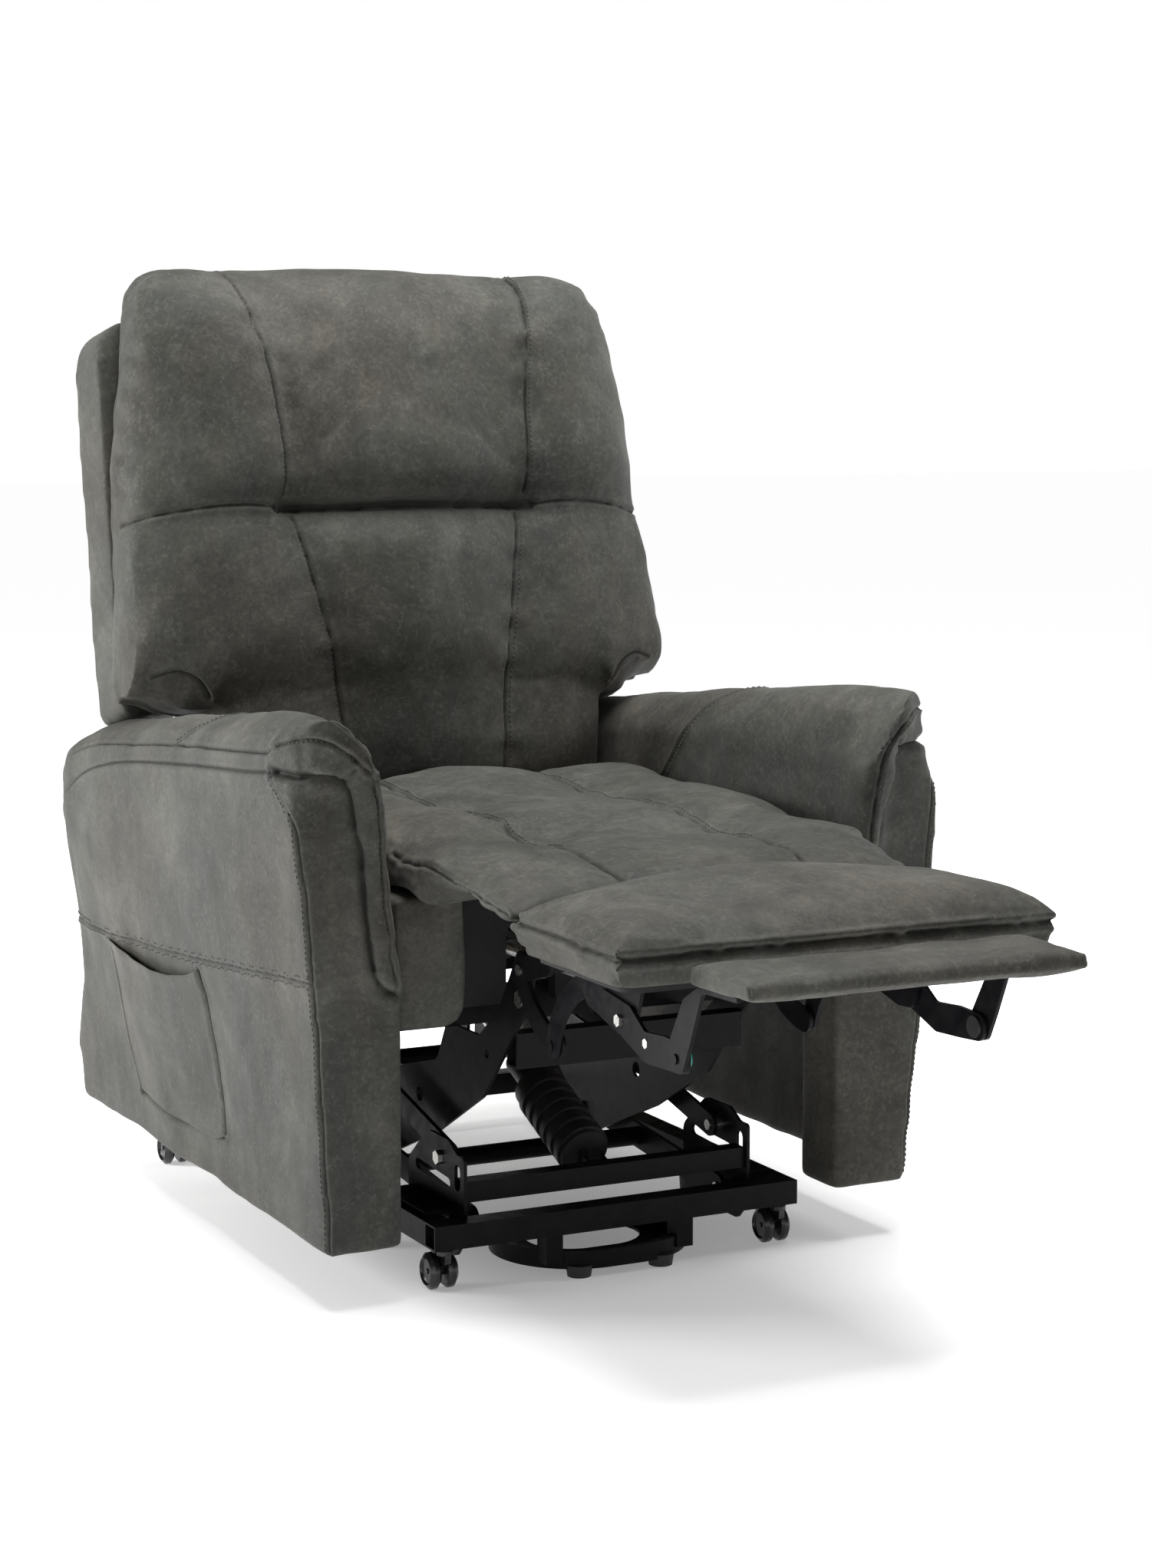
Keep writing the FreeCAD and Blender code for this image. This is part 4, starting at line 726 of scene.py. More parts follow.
def pull_seam(piece, line, depth=0.003, width=0.0022, lap=0.0, ridge=0.3, soft=0.0):
    """Pulls the cover in along a line. lap lifts the line's left side, soft adds a wide dip."""
    points = points_of(piece)
    normals = normals_of(piece)
    gap, _, where, heading = near_line(points, line)
    across = np.einsum("ij,ij->i", np.cross(normals, heading), points - where)
    dip = depth * np.exp(-(gap / width) ** 2)
    swell = depth * ridge * np.exp(-((gap - 2.6 * width) / (1.3 * width)) ** 2)
    step = lap * np.exp(-(gap / LAP_WIDTH) ** 2) * np.clip(across / 0.001, 0, 1)
    valley = soft * np.exp(-(gap / SOFT_WIDTH) ** 2)
    move_points(piece, points + normals * (swell + step - dip - valley)[:, None])
    mark_seam(piece, np.exp(-(gap / (1.1 * width)) ** 2))


def pucker(piece, line, depth, reach, pitch, seed):
    """Short folds that run away from a line, where a cover is gathered into a seam."""
    points = points_of(piece)
    normals = normals_of(piece)
    gap, run, _, _ = near_line(points, line, reach * 3)
    push = np.zeros(len(points))
    for i in np.nonzero(gap < reach * 2.4)[0]:
        fade = math.exp(-(gap[i] / reach) ** 2)
        push[i] = depth * fade * noise.noise(Vector((run[i] / pitch, gap[i] / (reach * 2.5), seed)))
    move_points(piece, points + normals * push[:, None])


def crumple(piece, depth, scale, seed, stretch=(1.0, 1.0, 1.0)):
    """Broad, soft unevenness of a stuffed cover."""
    points = points_of(piece)
    normals = normals_of(piece)
    push = np.array([noise.noise(Vector((p[0] * stretch[0] * scale + seed,
                                         p[1] * stretch[1] * scale,
                                         p[2] * stretch[2] * scale + 2 * seed)))
                     for p in points])
    move_points(piece, points + normals * (depth * push)[:, None])


# %% [markdown]
# Stitches are real thread: short, slightly raised dashes beside a seam. Dashes in the finish would
# lie flat, so one tiny bead is copied along a line that runs a few millimetres from the seam on
# the finished cover. There are hundreds, so a bead has only a few faces.

# %% Stitches
BESIDE = 0.0065                    # metres from a seam to its row of stitches
PITCH = 0.0062                     # metres from the start of one dash to the start of the next
DASH = 0.0042
THICK = 0.0008


def stitch_row(bm, tree, line, offset):
    """One row of beads, offset metres to the line's left."""
    count = 0
    run = 0.0
    due = PITCH / 2
    for a, b in zip(line, line[1:]):
        step = Vector(b) - Vector(a)
        while step.length > 1e-7 and due <= run + step.length:
            middle_point = Vector(a) + step * ((due - run) / step.length)
            due += PITCH
            _, normal, _, _ = tree.find_nearest(middle_point)
            side = normal.cross(step).normalized()
            spot, normal, _, _ = tree.find_nearest(middle_point + side * offset)
            forward = (step - normal * step.dot(normal)).normalized()
            side = normal.cross(forward)
            turn = Matrix((forward, side, normal)).transposed().to_4x4()
            place = Matrix.Translation(spot + normal * THICK * 0.25) @ turn
            size = Matrix.Diagonal((DASH / 2, THICK, THICK, 1))
            bmesh.ops.create_uvsphere(bm, u_segments=6, v_segments=4, radius=1.0,
                                      matrix=place @ size)
            count += 1
        run += step.length
    return count


def stitch_rows(name, body, piece, rows):
    """Rows of stitches on a piece. A row is (line, offset), the offset to the line's left."""
    tree = tree_of(piece)
    whole = bmesh.new()
    count = 0
    for line, offset in rows:
        bm = bmesh.new()
        count += stitch_row(bm, tree, line, offset)
        row_mesh = bpy.data.meshes.new("row")
        bm.to_mesh(row_mesh)
        bm.free()
        whole.from_mesh(row_mesh)
        bpy.data.meshes.remove(row_mesh)
    mesh = bpy.data.meshes.new(name)
    whole.to_mesh(mesh)
    whole.free()
    stitches = link(name, mesh)
    dress(stitches, body, "foam_cover", thread)
    print(name, "stitches:", count)


# %% [markdown]
# ## The back
# The back is one cover over two rows of three panels. The middle of the upper row hangs over a deep
# crease, and the crease fades to a plain seam at the sides. The lower row has wings that droop over
# the arms, and a narrower part between them. Six panels that meet exactly would be hard to keep
# together, so the back is one mesh, and its seams are carved into it.

# %% Places and soft steps
def back_frame(points):
    """Points as (x, v, w) in the back's own frame, in millimetres."""
    x = points[:, 0] * 1000
    y = (points[:, 1] + ARM_FRONT) * 1000
    z = points[:, 2] * 1000
    return x, y * COS - z * SIN, y * SIN + z * COS


def step_between(value, low, high):
    """0 below low, 1 above high, and a soft step between."""
    t = np.clip((value - low) / (high - low), 0, 1)
    return t * t * (3 - 2 * t)


def round_off(p, q, corner_p, corner_q, radius):
    """Pulls the places of a plane inside an arc that rounds the corner at their high ends."""
    dp = p - (corner_p - radius)
    dq = q - (corner_q - radius)
    far = np.hypot(dp, dq)
    share = np.where((dp > 0) & (dq > 0) & (far > radius), radius / np.maximum(far, 1e-9), 1.0)
    return p + dp * (share - 1), q + dq * (share - 1)


# %% Back padding
BACK_HALF = 0.2605                 # half the back's width between the arms, in metres
CREASE_W = 899                     # the crease's level on the back, in millimetres as are the next
WING_W = 690                       # the level of the wings' lower edge
WING_X = 262                       # where the wings start, out from the middle
back = copy_solid(["headrest_cushion", "lumbar_cushion"], "back_cover")
remesh(back, VOXEL["back"])
x, v, w = back_frame(points_of(back))
near_crease = 1 - step_between(abs(w - CREASE_W), 34, 60)
smooth(back, 40, step_between(abs(x), 158, 192) * near_crease * (1 - step_between(v, 520, 545)))
x, v, w = back_frame(points_of(back))
droop = np.interp(abs(x), [250, WING_X, 292, 316, 330], [0, 24, 21, 7, 0])
droop = droop * np.where(w > WING_W, 1 - step_between(w, 700, 780), step_between(w, 590, WING_W))
w = w - droop
facing_edge = np.interp(abs(x), [WING_X, 284, 306, 330], [668, 696, 706, 701])
below = np.clip(facing_edge - w, 0, 30) * (abs(x) > WING_X)
v = v + 0.7 * below * (1 - step_between(v, 470, 540))
top = w > w.max() - 60
wide, tall = round_off(abs(x), w, abs(x[top]).max(), w.max(), 72.0)
move_points(back, np.array([on_back(*place) for place in zip(np.sign(x) * wide, v, tall)]))
smooth(back, 6)
points = points_of(back)
x, v, w = back_frame(points)
move_points(back, points - normals_of(back) * (0.007 * (1 - step_between(v, 540, 556)))[:, None])
print("back padding:", len(points), "points")


# %% Back seams and blow-up
def back_line(tree, marks):
    """A seam on the back's front, from marks of (x, w)."""
    return cast_line(tree, [on_back(mx, 250, mw) for mx, mw in curve_through(marks)], BACK_OUT)


BACK_MARKS = {
    "upper": [(190, 1205), (184, 1150), (168, 1060), (161, 980), (160, 912)],
    "lower": [(150, 890), (136, 820), (120, 730), (110, 640), (104, 540), (100, 480)],
    "side": [(166, CREASE_W), (220, 902), (290, 898), (346, 890)],
    "facing": [(330, 702), (306, 707), (284, 697), (268, 674)],
}
CREASE_MARKS = [(mx, CREASE_W) for mx in (-168, -80, 80, 168)]


def back_seams(tree):
    """The back's seams on its present surface."""
    rows = {}
    for side in (-1, 1):
        for kind, marks in BACK_MARKS.items():
            rows[kind, side] = back_line(tree, [(side * mx, mw) for mx, mw in marks])
    rows["crease", 0] = back_line(tree, CREASE_MARKS)
    return rows


seams = back_seams(tree_of(back))
points = points_of(back)
x, v, w = back_frame(points)
held = step_between(v, 548, 558)
for line in seams.values():
    held = held_at(held, points, line)
blow_up(back, *PUFF["back"], held)
points = points_of(back)
x, v, w = back_frame(points)
low_part = w < 662
points[low_part, 0] = np.clip(points[low_part, 0], -BACK_HALF, BACK_HALF)
move_points(back, points)
subdivide(back)

# %% Back carving
crumple(back, 0.0050, 6.5, 3.1)
crumple(back, 0.0018, 22.0, 8.3)
seams = back_seams(tree_of(back))
refine(back, seams.values(), 0.013)
for (kind, side), line in seams.items():
    if kind == "crease":
        pull_seam(back, line, 0.010, 0.0050, ridge=0.1)
    else:
        gather = 0.0010 if kind == "facing" else 0.0035
        pucker(back, line, gather, 0.026, 0.030, 4.0 + side)
        pull_seam(back, line, 0.0030, 0.0022, lap=0.0012, soft=0.0025)
BACK_EDGE = [(352, 520, 905), (346, 510, 1000), (334, 500, 1090), (318, 505, 1160),
             (296, 515, 1200)]
for side in (-1, 1):
    edge = drop_line(tree_of(back), [on_back(side * mx, mv, mw)
                                     for mx, mv, mw in curve_through(BACK_EDGE)])
    pucker(back, edge, 0.0060 if side < 0 else 0.0030, 0.026, 0.020, 7.0 + side)
dress(back, "back", "foam_cover", cover, "headrest_cushion", "lumbar_cushion")
rows = []
for side in (-1, 1):
    rows += [(seams["upper", side], BESIDE * side), (seams["lower", side], BESIDE * side)]
stitch_rows("back_stitches", "back", back, rows)
print("back cover:", len(back.data.polygons), "faces")

# %% [markdown]
# ## The seat and the calf pad
# The seat's cover runs on over a bridge to the calf pad. The bridge folds up like a concertina when
# the legrest drops, so it can't be a rigid part of the seat. Two pieces made apart would show a
# step where they meet. So seat and bridge are shaped and carved as one, and the finished surface
# is cut in two there.

# %% Seat padding
SEAT_HALF = 0.2615                 # half the seat's width between the arms, in metres
seat = copy_solid(["seat_cushion", "chaise_bridge"], "seat_cover")
remesh(seat, VOXEL["seat"])
points = points_of(seat)
inside_edge = step_between(0.255 - abs(points[:, 0]), 0.0, 0.02)
smooth(seat, 40, step_between(points[:, 2], 0.452, 0.470) * inside_edge)
smooth(seat, 4)
points = points_of(seat)
normals = normals_of(seat)
move_points(seat, points - normals * (0.005 * (normals[:, 2] > 0.2))[:, None])


def from_above(tree, marks):
    """A seam on a piece's top, from marks of (x, y)."""
    return cast_line(tree, [at(mx, my, 720) for mx, my in curve_through(marks)], Vector((0, 0, -1)))


SEAT_MARKS = [(104, 470), (108, 300), (112, 100), (112, -60), (106, -212)]
SEAT_EDGE = [(259, 60, 478), (258, -40, 474), (254, -140, 460), (249, -222, 450)]


def seat_seams(tree):
    """The two lengthwise seams on the seat's present surface, the right one first."""
    return [from_above(tree, [(side * mx, my) for mx, my in SEAT_MARKS]) for side in (-1, 1)]


points = points_of(seat)
held = 1.0 * (points[:, 2] < 0.447) * (normals_of(seat)[:, 2] < 0.3)
for line in seat_seams(tree_of(seat)):
    held = held_at(held, points, line)
blow_up(seat, *PUFF["seat"], held)
points = points_of(seat)
points[:, 0] = np.clip(points[:, 0], -SEAT_HALF, SEAT_HALF)
forward = -(points[:, 1] + ARM_FRONT)
seam_z = np.interp(forward, [-0.06, 0.04, 0.14, 0.222], [0.470, 0.466, 0.452, 0.442])
below = np.maximum(seam_z - points[:, 2], 0)
bridge_part = step_between(forward, 0.010, 0.070)
points[:, 0] *= 1 - 0.19 * bridge_part * step_between(below, 0.0, 0.030)
points[:, 2] += bridge_part * 0.7 * np.maximum(below - 0.014, 0)
move_points(seat, points)
subdivide(seat)

# %% Seat carving
crumple(seat, 0.0060, 7.0, 1.3, (0.7, 1.3, 1.0))
crumple(seat, 0.0020, 24.0, 5.9)
lines = seat_seams(tree_of(seat))
side_lines = []
for side in (-1, 1):
    marks = [(side * mx, my, mz) for mx, my, mz in SEAT_EDGE]
    side_lines.append(drop_line(tree_of(seat), [at(*m) for m in curve_through(marks)]))
refine(seat, lines + side_lines, 0.013)
for i, line in enumerate(lines):
    pucker(seat, line, 0.0040, 0.030, 0.034, 2.0 + i)
    pull_seam(seat, line, 0.0030, 0.0022, lap=0.0010, soft=0.0030)
for i, line in enumerate(side_lines):
    pucker(seat, line, 0.0032, 0.030, 0.024, 12.0 + i)
    pull_seam(seat, line, 0.0030, 0.0024)


# %% Cutting the seat from the bridge
def cut_off(piece, name, place, keep_front):
    """A copy of a piece cut by a crosswise plane, with the cut closed and its rim kept sharp."""
    bm = bmesh.new()
    bm.from_mesh(piece.data)
    geometry = bm.verts[:] + bm.edges[:] + bm.faces[:]
    cut = bmesh.ops.bisect_plane(bm, geom=geometry, plane_co=place, plane_no=(0, 1, 0),
                                 clear_outer=keep_front, clear_inner=not keep_front)
    rim = [e for e in cut["geom_cut"] if isinstance(e, bmesh.types.BMEdge)]
    for edge in rim:
        edge.smooth = False
    bmesh.ops.contextual_create(bm, geom=rim)
    caps = [f for f in bm.faces if len(f.verts) > 12]
    bmesh.ops.triangulate(bm, faces=caps)
    mesh = bpy.data.meshes.new(name)
    bm.to_mesh(mesh)
    bm.free()
    return link(name, mesh)


FOLD = at(0, -62, 470)
seat_rear = cut_off(seat, "seat_cushion_cover", FOLD, False)
bridge = cut_off(seat, "bridge_cover", FOLD, True)
bpy.data.objects.remove(seat)
dress(seat_rear, "seat", "foam_cover", cover, "seat_cushion")
dress(bridge, "seat", "foam_cover", cover, "chaise_bridge")
ON_THE_SEAT = 0.78                 # the share of each seam that lies behind the fold
rows = [(line[: int(len(line) * ON_THE_SEAT)], BESIDE) for line in lines]
stitch_rows("seat_stitches", "seat", seat_rear, rows)
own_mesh(bridge)
print("seat and bridge:", len(seat_rear.data.polygons), len(bridge.data.polygons), "faces")

# %% [markdown]
# The calf pad is one broad roll sewn to a band that runs round the board below it. The roll's edge
# is first lifted to a quarter of an ellipse, because pressure alone would round it too little. The
# band is a box without ends: bevelled corners, then a wall. The foot flap is a board in a tight
# thin pad, so it is blown up by a few millimetres only.

# %% Calf pad
calf = copy_solid(["calf_pad"], "calf_cover")
remesh(calf, VOXEL["calf"])
points = points_of(calf)
edge_gap = np.minimum(0.249 - abs(points[:, 0]), points[:, 1] + ARM_FRONT + 0.447)
share = np.clip(edge_gap / 0.055, 0, 1)
round_edge = 0.438 + 0.036 * np.sqrt(np.maximum(1 - (1 - share) ** 2, 0))
FLANGE_TOP = 0.434                 # below this level the cover is tucked in behind the band
FLANGE_HALF = 0.240
FLANGE_FRONT = at(0, -438, 0).y
flange = points[:, 2] < FLANGE_TOP
points[flange, 0] = np.clip(points[flange, 0], -FLANGE_HALF, FLANGE_HALF)
points[flange, 1] = np.maximum(points[flange, 1], FLANGE_FRONT)
upper_side = (normals_of(calf)[:, 2] > 0.15) & (points[:, 2] > 0.430)
rear_fade = 1 - step_between(points[:, 1] + ARM_FRONT, -0.275, -0.235)
lifted = np.maximum(points[:, 2], round_edge)
points[:, 2] += upper_side * rear_fade * (lifted - points[:, 2])
move_points(calf, points)
smooth(calf, 8)


def calf_seam(tree):
    """The seam round the calf pad's front and sides, from its rear right corner."""
    half = [(240, -226, 442), (249, -300, 441), (247, -400, 438), (240, -436, 437),
            (200, -446, 437)]
    marks = [(-mx, my, mz) for mx, my, mz in half] + [(0, -447, 437)] + half[::-1]
    return drop_line(tree, [at(*m) for m in curve_through(marks)])


points = points_of(calf)
normals = normals_of(calf)
move_points(calf, points - normals * (0.004 * (normals[:, 2] > 0.1))[:, None])
points = points_of(calf)
held = 1.0 * (points[:, 2] < 0.424)
held = held_at(held, points, calf_seam(tree_of(calf)), 0.007)
blow_up(calf, *PUFF["calf"], held)
subdivide(calf)
crumple(calf, 0.0045, 8.0, 5.3, (0.6, 1.4, 1.0))
line = calf_seam(tree_of(calf))
refine(calf, [line], 0.013)
pucker(calf, line, 0.0045, 0.022, 0.022, 21.0)
pull_seam(calf, line, 0.0045, 0.0028, lap=-0.0014, ridge=0.5)
dress(calf, "ottoman", "foam_cover", cover, "calf_pad")

# %% Band round the calf board
bm = bmesh.new()
bmesh.ops.create_cube(bm, size=1.0)
low, high = at(-238, -436, 411), at(238, -228, 433)       # the band's two far corners
for vert in bm.verts:
    vert.co = Vector([low[i] if vert.co[i] < 0 else high[i] for i in range(3)])
upright = [e for e in bm.edges if abs(e.verts[0].co.z - e.verts[1].co.z) > 0.01]
bmesh.ops.bevel(bm, geom=upright, offset=0.018, segments=5, profile=0.5, affect="EDGES",
                material=-1)
ends = [f for f in bm.faces if abs(f.normal.z) > 0.9]
bmesh.ops.delete(bm, geom=ends, context="FACES_ONLY")
bmesh.ops.subdivide_edges(bm, edges=[e for e in bm.edges if e.calc_length() > 0.05], cuts=40)
bmesh.ops.recalc_face_normals(bm, faces=bm.faces[:])
bmesh.ops.solidify(bm, geom=bm.faces[:], thickness=0.0025)
mesh = bpy.data.meshes.new("calf_band")
bm.to_mesh(mesh)
bm.free()
calf_band = link("calf_band", mesh)
subdivide(calf_band)
crumple(calf_band, 0.0010, 22.0, 2.2)
dress(calf_band, "ottoman", "suede", cover)
print("calf band:", len(calf_band.data.polygons), "faces")

# %% Foot flap
flap = copy_solid(["flap_panel"], "flap_cover")
remesh(flap, VOXEL["flap"])
smooth(flap, 4)
points = points_of(flap)
move_points(flap, points - normals_of(flap) * 0.0012)
blow_up(flap, *PUFF["flap"], np.zeros(len(points)))
flap_lines = []
tree = tree_of(flap)
for side in (-1, 1):
    marks = [(side * 184, -579, 433), (side * 184.5, -579.5, 426), (side * 184, -579, 417)]
    flap_lines.append(drop_line(tree, [at(*m) for m in curve_through(marks, 2.0)]))
subdivide(flap)
crumple(flap, 0.0018, 18.0, 6.1)
for line in flap_lines:
    pull_seam(flap, line, 0.0020, 0.0016)
dress(flap, "flap", "suede", cover, "flap_panel")
print("calf pad and flap:", len(calf.data.polygons), len(flap.data.polygons), "faces")

# %% [markdown]
# ## The arms
# An arm is a padded box. Its thick top runs down the inner side to the seat, and a roll runs across
# its front and down its inner front edge. The outer side bulges, and its panels meet in stitched
# seams. Box, top and roll are three solids in the drawing. One mesh covers all of them, so that the
# panels flow into each other, and the marks below say where its seams run.

# %% Arm seams


def outer_x(z):
    """How far out the drawing's arm bulges at a height."""
    return float(np.interp(z, [60, 296, 437, 551, 600], [347, 366, 383, 387, 384]))


def left_bulge(y, z):
    """How much further out than the drawing's side the left arm's side stands."""
    bulge = np.interp(z, [62, 207, 300, 439, 511, 558, 566], [10, 14, 13, 12, 8, 0, 0])
    return bulge * (1 - step_between(y, 500, 800))


POCKET_FRONT = [(322, 313), (312, 275), (303, 225), (297, 165), (297, 128)]
POCKET_REAR = [(640, 298), (634, 255), (624, 205), (608, 155), (592, 118)]


def arm_marks(side):
    """The arm's seams as marks (x, y, z) near its surface, for the arm on one side."""
    lines = {}
    lines["upper"] = [(388, 66, 584), (390, 205, 575), (390, 331, 569), (390, 449, 559),
                      (390, 575, 549), (389, 660, 536), (382, 740, 512), (368, 800, 478),
                      (352, 850, 430), (345, 876, 380)]
    lines["lower"] = [(388, 50, 565), (389, 146, 556), (389, 284, 547), (389, 495, 529),
                      (389, 600, 514), (388, 690, 494), (380, 762, 464), (366, 812, 425),
                      (352, 850, 372), (345, 876, 318)]
    lines["front"] = [(388, 52, 562), (387, 39, 550), (384, 19, 532), (380, 1, 510),
                      (376, 0, 482), (370, 0, 444), (366, 0, 393), (361, 0, 306), (348, 0, 64)]
    lines["felled"] = [(outer_x(350), 3, 350), (outer_x(338), 188, 338), (outer_x(324), 345, 324),
                       (outer_x(306), 620, 305), (outer_x(301), 780, 301), (350, 860, 299)]
    lines["cross"] = [(389, 362, 567), (380, 340, 588), (340, 300, 612), (300, 312, 602),
                      (268, 350, 560), (262, 390, 515), (262, 423, 474)]
    lines["roll"] = [(388, 62, 586), (386, 38, 596), (376, -2, 602), (362, -24, 601),
                     (345, -31, 595), (325, -32, 582), (307, -32, 561), (297, -32, 531),
                     (292, -31, 490), (289, -30, 450), (280, -28, 409), (273, -24, 365),
                     (266, -16, 338)]
    lines["under_roll"] = [(388, 49, 566), (386, 20, 567), (378, -2, 567), (366, -5, 565),
                           (335, -6, 557), (320, -5, 537), (314, -5, 504), (310, -5, 478),
                           (308, -5, 440), (304, -5, 402), (296, -5, 355), (284, -4, 338),
                           (268, -4, 332)]
    lines["mitre"] = [(334, -6, 556), (330, -22, 562), (326, -31, 569)]
    if side > 0:
        for name in ("front", "felled"):
            lines[name] = [(mx + left_bulge(my, mz), my, mz) for mx, my, mz in lines[name]]
    else:
        for name, edge in (("pocket_front", POCKET_FRONT), ("pocket_rear", POCKET_REAR)):
            lines[name] = [(outer_x(mz), my, mz) for my, mz in edge]
        lines["pocket_foot"] = [(outer_x(116), 592, 116), (outer_x(112), 445, 111),
                                (outer_x(116), 300, 122)]
    return {name: [(side * mx, my, mz) for mx, my, mz in marks] for name, marks in lines.items()}


# %% [markdown]
# The drawing's arm has neat corners. Foam under a tight cover rounds them, so the copy is eased
# before it is blown up: the top rolls over to the inner side, the front's top corner and the rear
# end turn softly in plan, and the roll narrows on its way down. A bevel can't follow such changing
# radii, and arithmetic on the points can. The two arms aren't quite alike: the left one bulges
# more, and the right one is drawn in at its front seam.

# %% Easing an arm's corners


def ease_arm(arm, side):
    """Rounds the corners of an arm's copy and narrows its front roll, as its foam and cover do."""
    points = points_of(arm)
    x = points[:, 0] * side * 1000
    y = (points[:, 1] + ARM_FRONT) * 1000
    z = points[:, 2] * 1000
    stations = np.arange(-40, 900, 20.0)
    tops = np.array([z[abs(y - station) < 14].max() for station in stations])
    top = np.interp(y, stations, tops)

    front = (1 - step_between(y, -2, 8)) * (z > 320)
    roll_edge = np.interp(z, [326, 382, 438, 494, 550], [282, 294, 299, 302, 304])
    inner = np.interp(z, [335, 350, 407, 440, 471, 506, 542], [262, 264, 271, 276, 280, 282, 284])
    outer = np.interp(z, [335, 355, 402, 440, 478, 504, 537], [291, 300, 308, 312, 315, 319, 324])
    in_roll = inner + (x - 262) * (outer - inner) / (roll_edge - 262)
    beside = x + (outer - roll_edge) * (1 - step_between(x, roll_edge, roll_edge + 40))
    rolled = np.where(x < roll_edge, in_roll, beside)
    behind = x + (inner - 262) * (1 - step_between(x, 262, 345)) * (1 - step_between(y, 0, 260))
    x = front * rolled + (1 - front) * behind

    underside = (1 - step_between(y, -4, 6)) * step_between(x, 300, 340) * step_between(z, 530, 556)
    z = z + 9 * underside * (1 - step_between(z, 560, 592))

    wall = np.where(front > 0.5, inner, 262 + (inner - 262) * (1 - step_between(y, 0, 260)))
    near_front = 1 - step_between(y, 20, 90)
    wall = wall + 10 * near_front * step_between(z, 535, 575)
    flatter = 1 + 0.36 * near_front
    inward, z = round_off(-x * flatter, z, -wall * flatter, top, 64 + 44 * near_front)
    x = -inward / flatter
    side_x = np.array([outer_x(place) for place in z])
    if side > 0:
        bulge = left_bulge(y, z)
    else:
        bulge = np.interp(z, [62, 306, 393, 444, 482, 510, 550], [2, -5, -10, -11, -7, -4, 0])
        bulge = bulge * (1 - step_between(y, 10, 200))
    x = x + bulge * step_between(x, side_x - 50, side_x - 14)
    corner = np.interp(z, [500, 556, 566], [9.0, 24.0, 85.0])
    face = np.interp(z, [556, 566], [0.0, 34.0])
    x, forward = round_off(x, -y, side_x + bulge + 1, face, corner)
    y = -forward
    corner = np.interp(z, [64, 220, 470, 560], [20.0, 125.0, 125.0, 170.0])
    x, y = round_off(x, y, side_x + 2, y.max(), corner)
    move_points(arm, np.column_stack((x * side / 1000, y / 1000 - ARM_FRONT, z / 1000)))


# %% Arm covers


def arm_lines(arm, side):
    """The arm's seams on its present surface."""
    tree = tree_of(arm)
    return {name: drop_line(tree, [at(*m) for m in curve_through(marks)])
            for name, marks in arm_marks(side).items()}


def make_arm(side, word):
    """One arm's cover, its carving and its stitches."""
    solids = [form + word for form in ("arm_body_", "arm_pad_", "arm_roll_")]
    arm = copy_solid(solids, "arm_cover_" + word)
    remesh(arm, VOXEL["arm"])
    smooth(arm, 3)
    ease_arm(arm, side)
    points = points_of(arm)
    rear_top = step_between(points[:, 1], 0.50, 0.58) * step_between(points[:, 2], 0.36, 0.44)
    smooth(arm, 30, rear_top)
    smooth(arm, 4)
    points = points_of(arm)
    soft = step_between(points[:, 2], 0.47, 0.56)
    roll = step_between(-points[:, 1], 0.150, 0.160) * step_between(points[:, 2], 0.34, 0.42)
    blown = np.maximum(soft, roll)
    move_points(arm, points - normals_of(arm) * (0.003 * blown)[:, None])
    lines = arm_lines(arm, side)
    points = points_of(arm)
    held = 1 - blown
    for name in ("upper", "lower", "roll", "under_roll"):
        held = held_at(held, points, lines[name])
    blow_up(arm, *PUFF["arm"], held)
    subdivide(arm)
    crumple(arm, 0.0035, 7.5, 6.6 + side)
    crumple(arm, 0.0012, 26.0, 2.6 + side)
    lines = arm_lines(arm, side)
    refine(arm, lines.values(), 0.012)
    pucker(arm, lines["roll"], 0.0035, 0.022, 0.024, 31.0 + side)
    pucker(arm, lines["under_roll"], 0.0035, 0.022, 0.022, 35.0 + side)
    pull_seam(arm, lines["under_roll"], 0.0090, 0.0045, ridge=0.15)
    pull_seam(arm, lines["mitre"], 0.0040, 0.0024)
    pull_seam(arm, lines["roll"], 0.0026, 0.0020, lap=0.0012)
    pull_seam(arm, lines["upper"], 0.0030, 0.0021, lap=0.0016, soft=0.002)
    pull_seam(arm, lines["lower"], 0.0032, 0.0021, lap=0.0016, soft=0.002)
    pull_seam(arm, lines["front"], 0.0018, 0.0018, lap=0.0008)
    pull_seam(arm, lines["felled"], 0.0018, 0.0016, lap=0.0012)
    pull_seam(arm, lines["cross"], 0.0026, 0.0020, lap=0.0010)
    for name in ("pocket_front", "pocket_rear", "pocket_foot"):
        if name in lines:
            pull_seam(arm, lines[name], 0.0030, 0.0024)
    dress(arm, "seat", "suede", cover, *solids)
    rows = [(lines["roll"], 0.0045 * side), (lines["front"], 0.0055 * side),
            (lines["felled"], 0.0055), (lines["felled"], -0.0055), (lines["cross"], 0.0055)]
    stitch_rows("arm_stitches_" + word, "seat", arm, rows)
    print("arm", word, len(arm.data.polygons), "faces")
    return arm


make_arm(1, "left")
right_arm = make_arm(-1, "right")

# %% [markdown]
# The pocket is a panel of cover sewn to the arm on three sides, with a hem and a slack mouth. Cloth
# that is sewn tight on three sides barely moves, so a simulation would add little. A flat grid is
# bent to the pocket's outline instead, laid on the arm with rays, and lifted where it hangs loose.

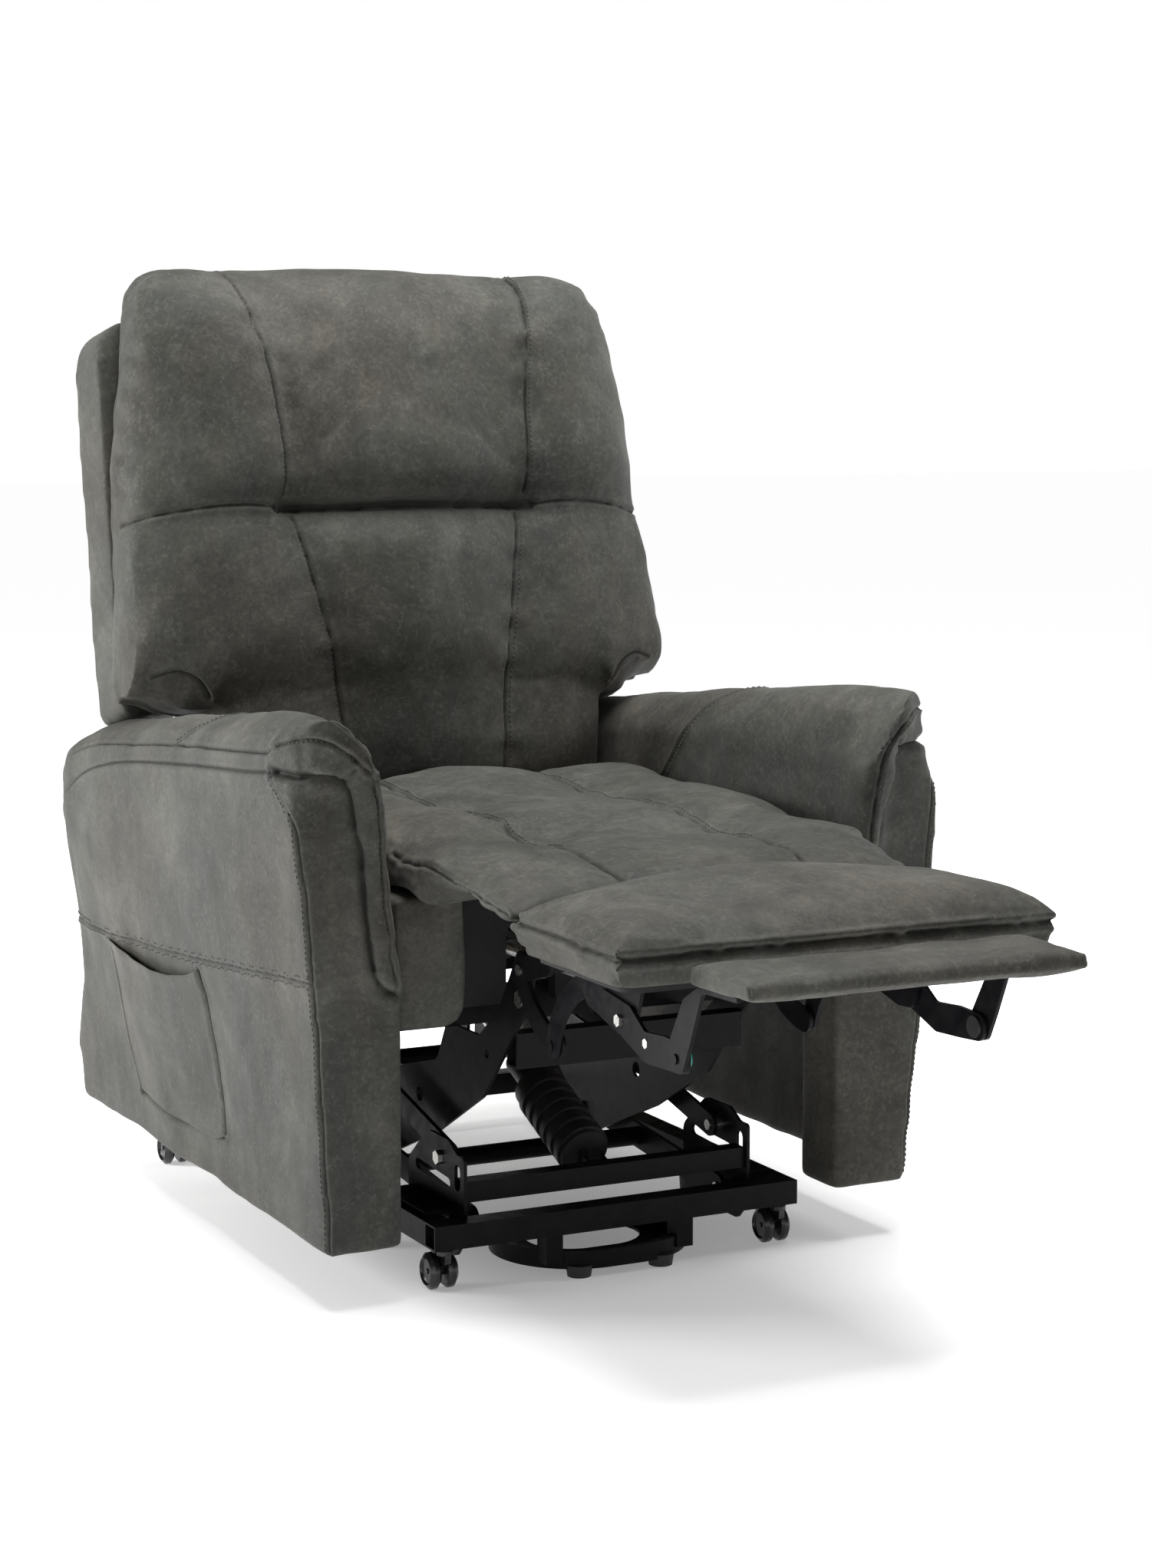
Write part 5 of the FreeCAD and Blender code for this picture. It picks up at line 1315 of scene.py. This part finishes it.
# %% Pocket
bm = bmesh.new()
bmesh.ops.create_grid(bm, x_segments=56, y_segments=40, size=0.5)
tree = tree_of(right_arm)
front_y = [p[0] for p in POCKET_FRONT]
rear_y = [p[0] for p in POCKET_REAR]
stages = [0.0, 0.2, 0.45, 0.8, 1.0]
for vert in bm.verts:
    u = vert.co.x + 0.5
    t = 0.5 - vert.co.y
    across = math.sin(math.pi * min(max(u, 0), 1))
    y = (1 - u) * np.interp(t, stages, front_y) + u * np.interp(t, stages, rear_y)
    mouth = np.interp(u, [0, 0.1, 0.27, 0.45, 0.7, 1], [313, 302, 293, 289, 290, 298])
    foot = 112 + 16 * (abs(2 * u - 1) ** 6)
    z = (1 - t) * mouth + t * foot
    wall, _, _, _ = tree.ray_cast(at(-450, y, z), Vector((1, 0, 0)))
    loose = 10.5 * across ** 0.8 * (1 - t) ** 1.2 + 3.0 * across * math.sin(math.pi * t)
    ripple = 1.6 * noise.noise(Vector((u * 5, t * 4, 7.7))) * across
    hem = 0.9 if t < 0.07 else 0.0
    vert.co = Vector((wall.x - (0.8 + loose + ripple + hem) / 1000, y / 1000 - ARM_FRONT, z / 1000))
bmesh.ops.recalc_face_normals(bm, faces=bm.faces[:])
if sum(f.normal.x for f in bm.faces) > 0:
    bmesh.ops.reverse_faces(bm, faces=bm.faces[:])
mesh = bpy.data.meshes.new("pocket_panel")
bm.to_mesh(mesh)
bm.free()
pocket = link("pocket_panel", mesh)
wall_tool = pocket.modifiers.new("wall", "SOLIDIFY")
wall_tool.thickness = 0.0018
wall_tool.offset = 0.0
settle(pocket)
subdivide(pocket)
dress(pocket, "seat", "suede", cover, "side_pocket")
print("pocket:", len(pocket.data.polygons), "faces")

# %% [markdown]
# ## The rear of the back and the rail's end blocks
# These covers are tight over board, so they aren't blown up and only need soft edges. The shell's
# wings hang a little lower than the drawing's, towards the arms.

# %% Rear of the back
shell = copy_solid(["back_shell"], "shell_cover")
remesh(shell, VOXEL["shell"])
x, v, w = back_frame(points_of(shell))
hang = step_between(abs(x), 252, 264) * (1 - step_between(w, 668, 720))
hang = hang * np.interp(v, [561, 656], [9, 22])
move_points(shell, points_of(shell) - np.outer(hang / 1000, BACK_UP))
smooth(shell, 6)
subdivide(shell)
crumple(shell, 0.0025, 7.0, 4.4)
dress(shell, "back", "foam_cover", cover, "back_shell")
print("shell cover:", len(shell.data.polygons), "faces")

# %% Rail's end blocks
blocks = copy_solid(["front_rail_pads"], "rail_block_covers")
remesh(blocks, VOXEL["blocks"])
smooth(blocks, 6)
subdivide(blocks)
crumple(blocks, 0.0025, 12.0, 9.4)
dress(blocks, "seat", "suede", cover, "front_rail_pads")
print("end blocks:", len(blocks.data.polygons), "faces")
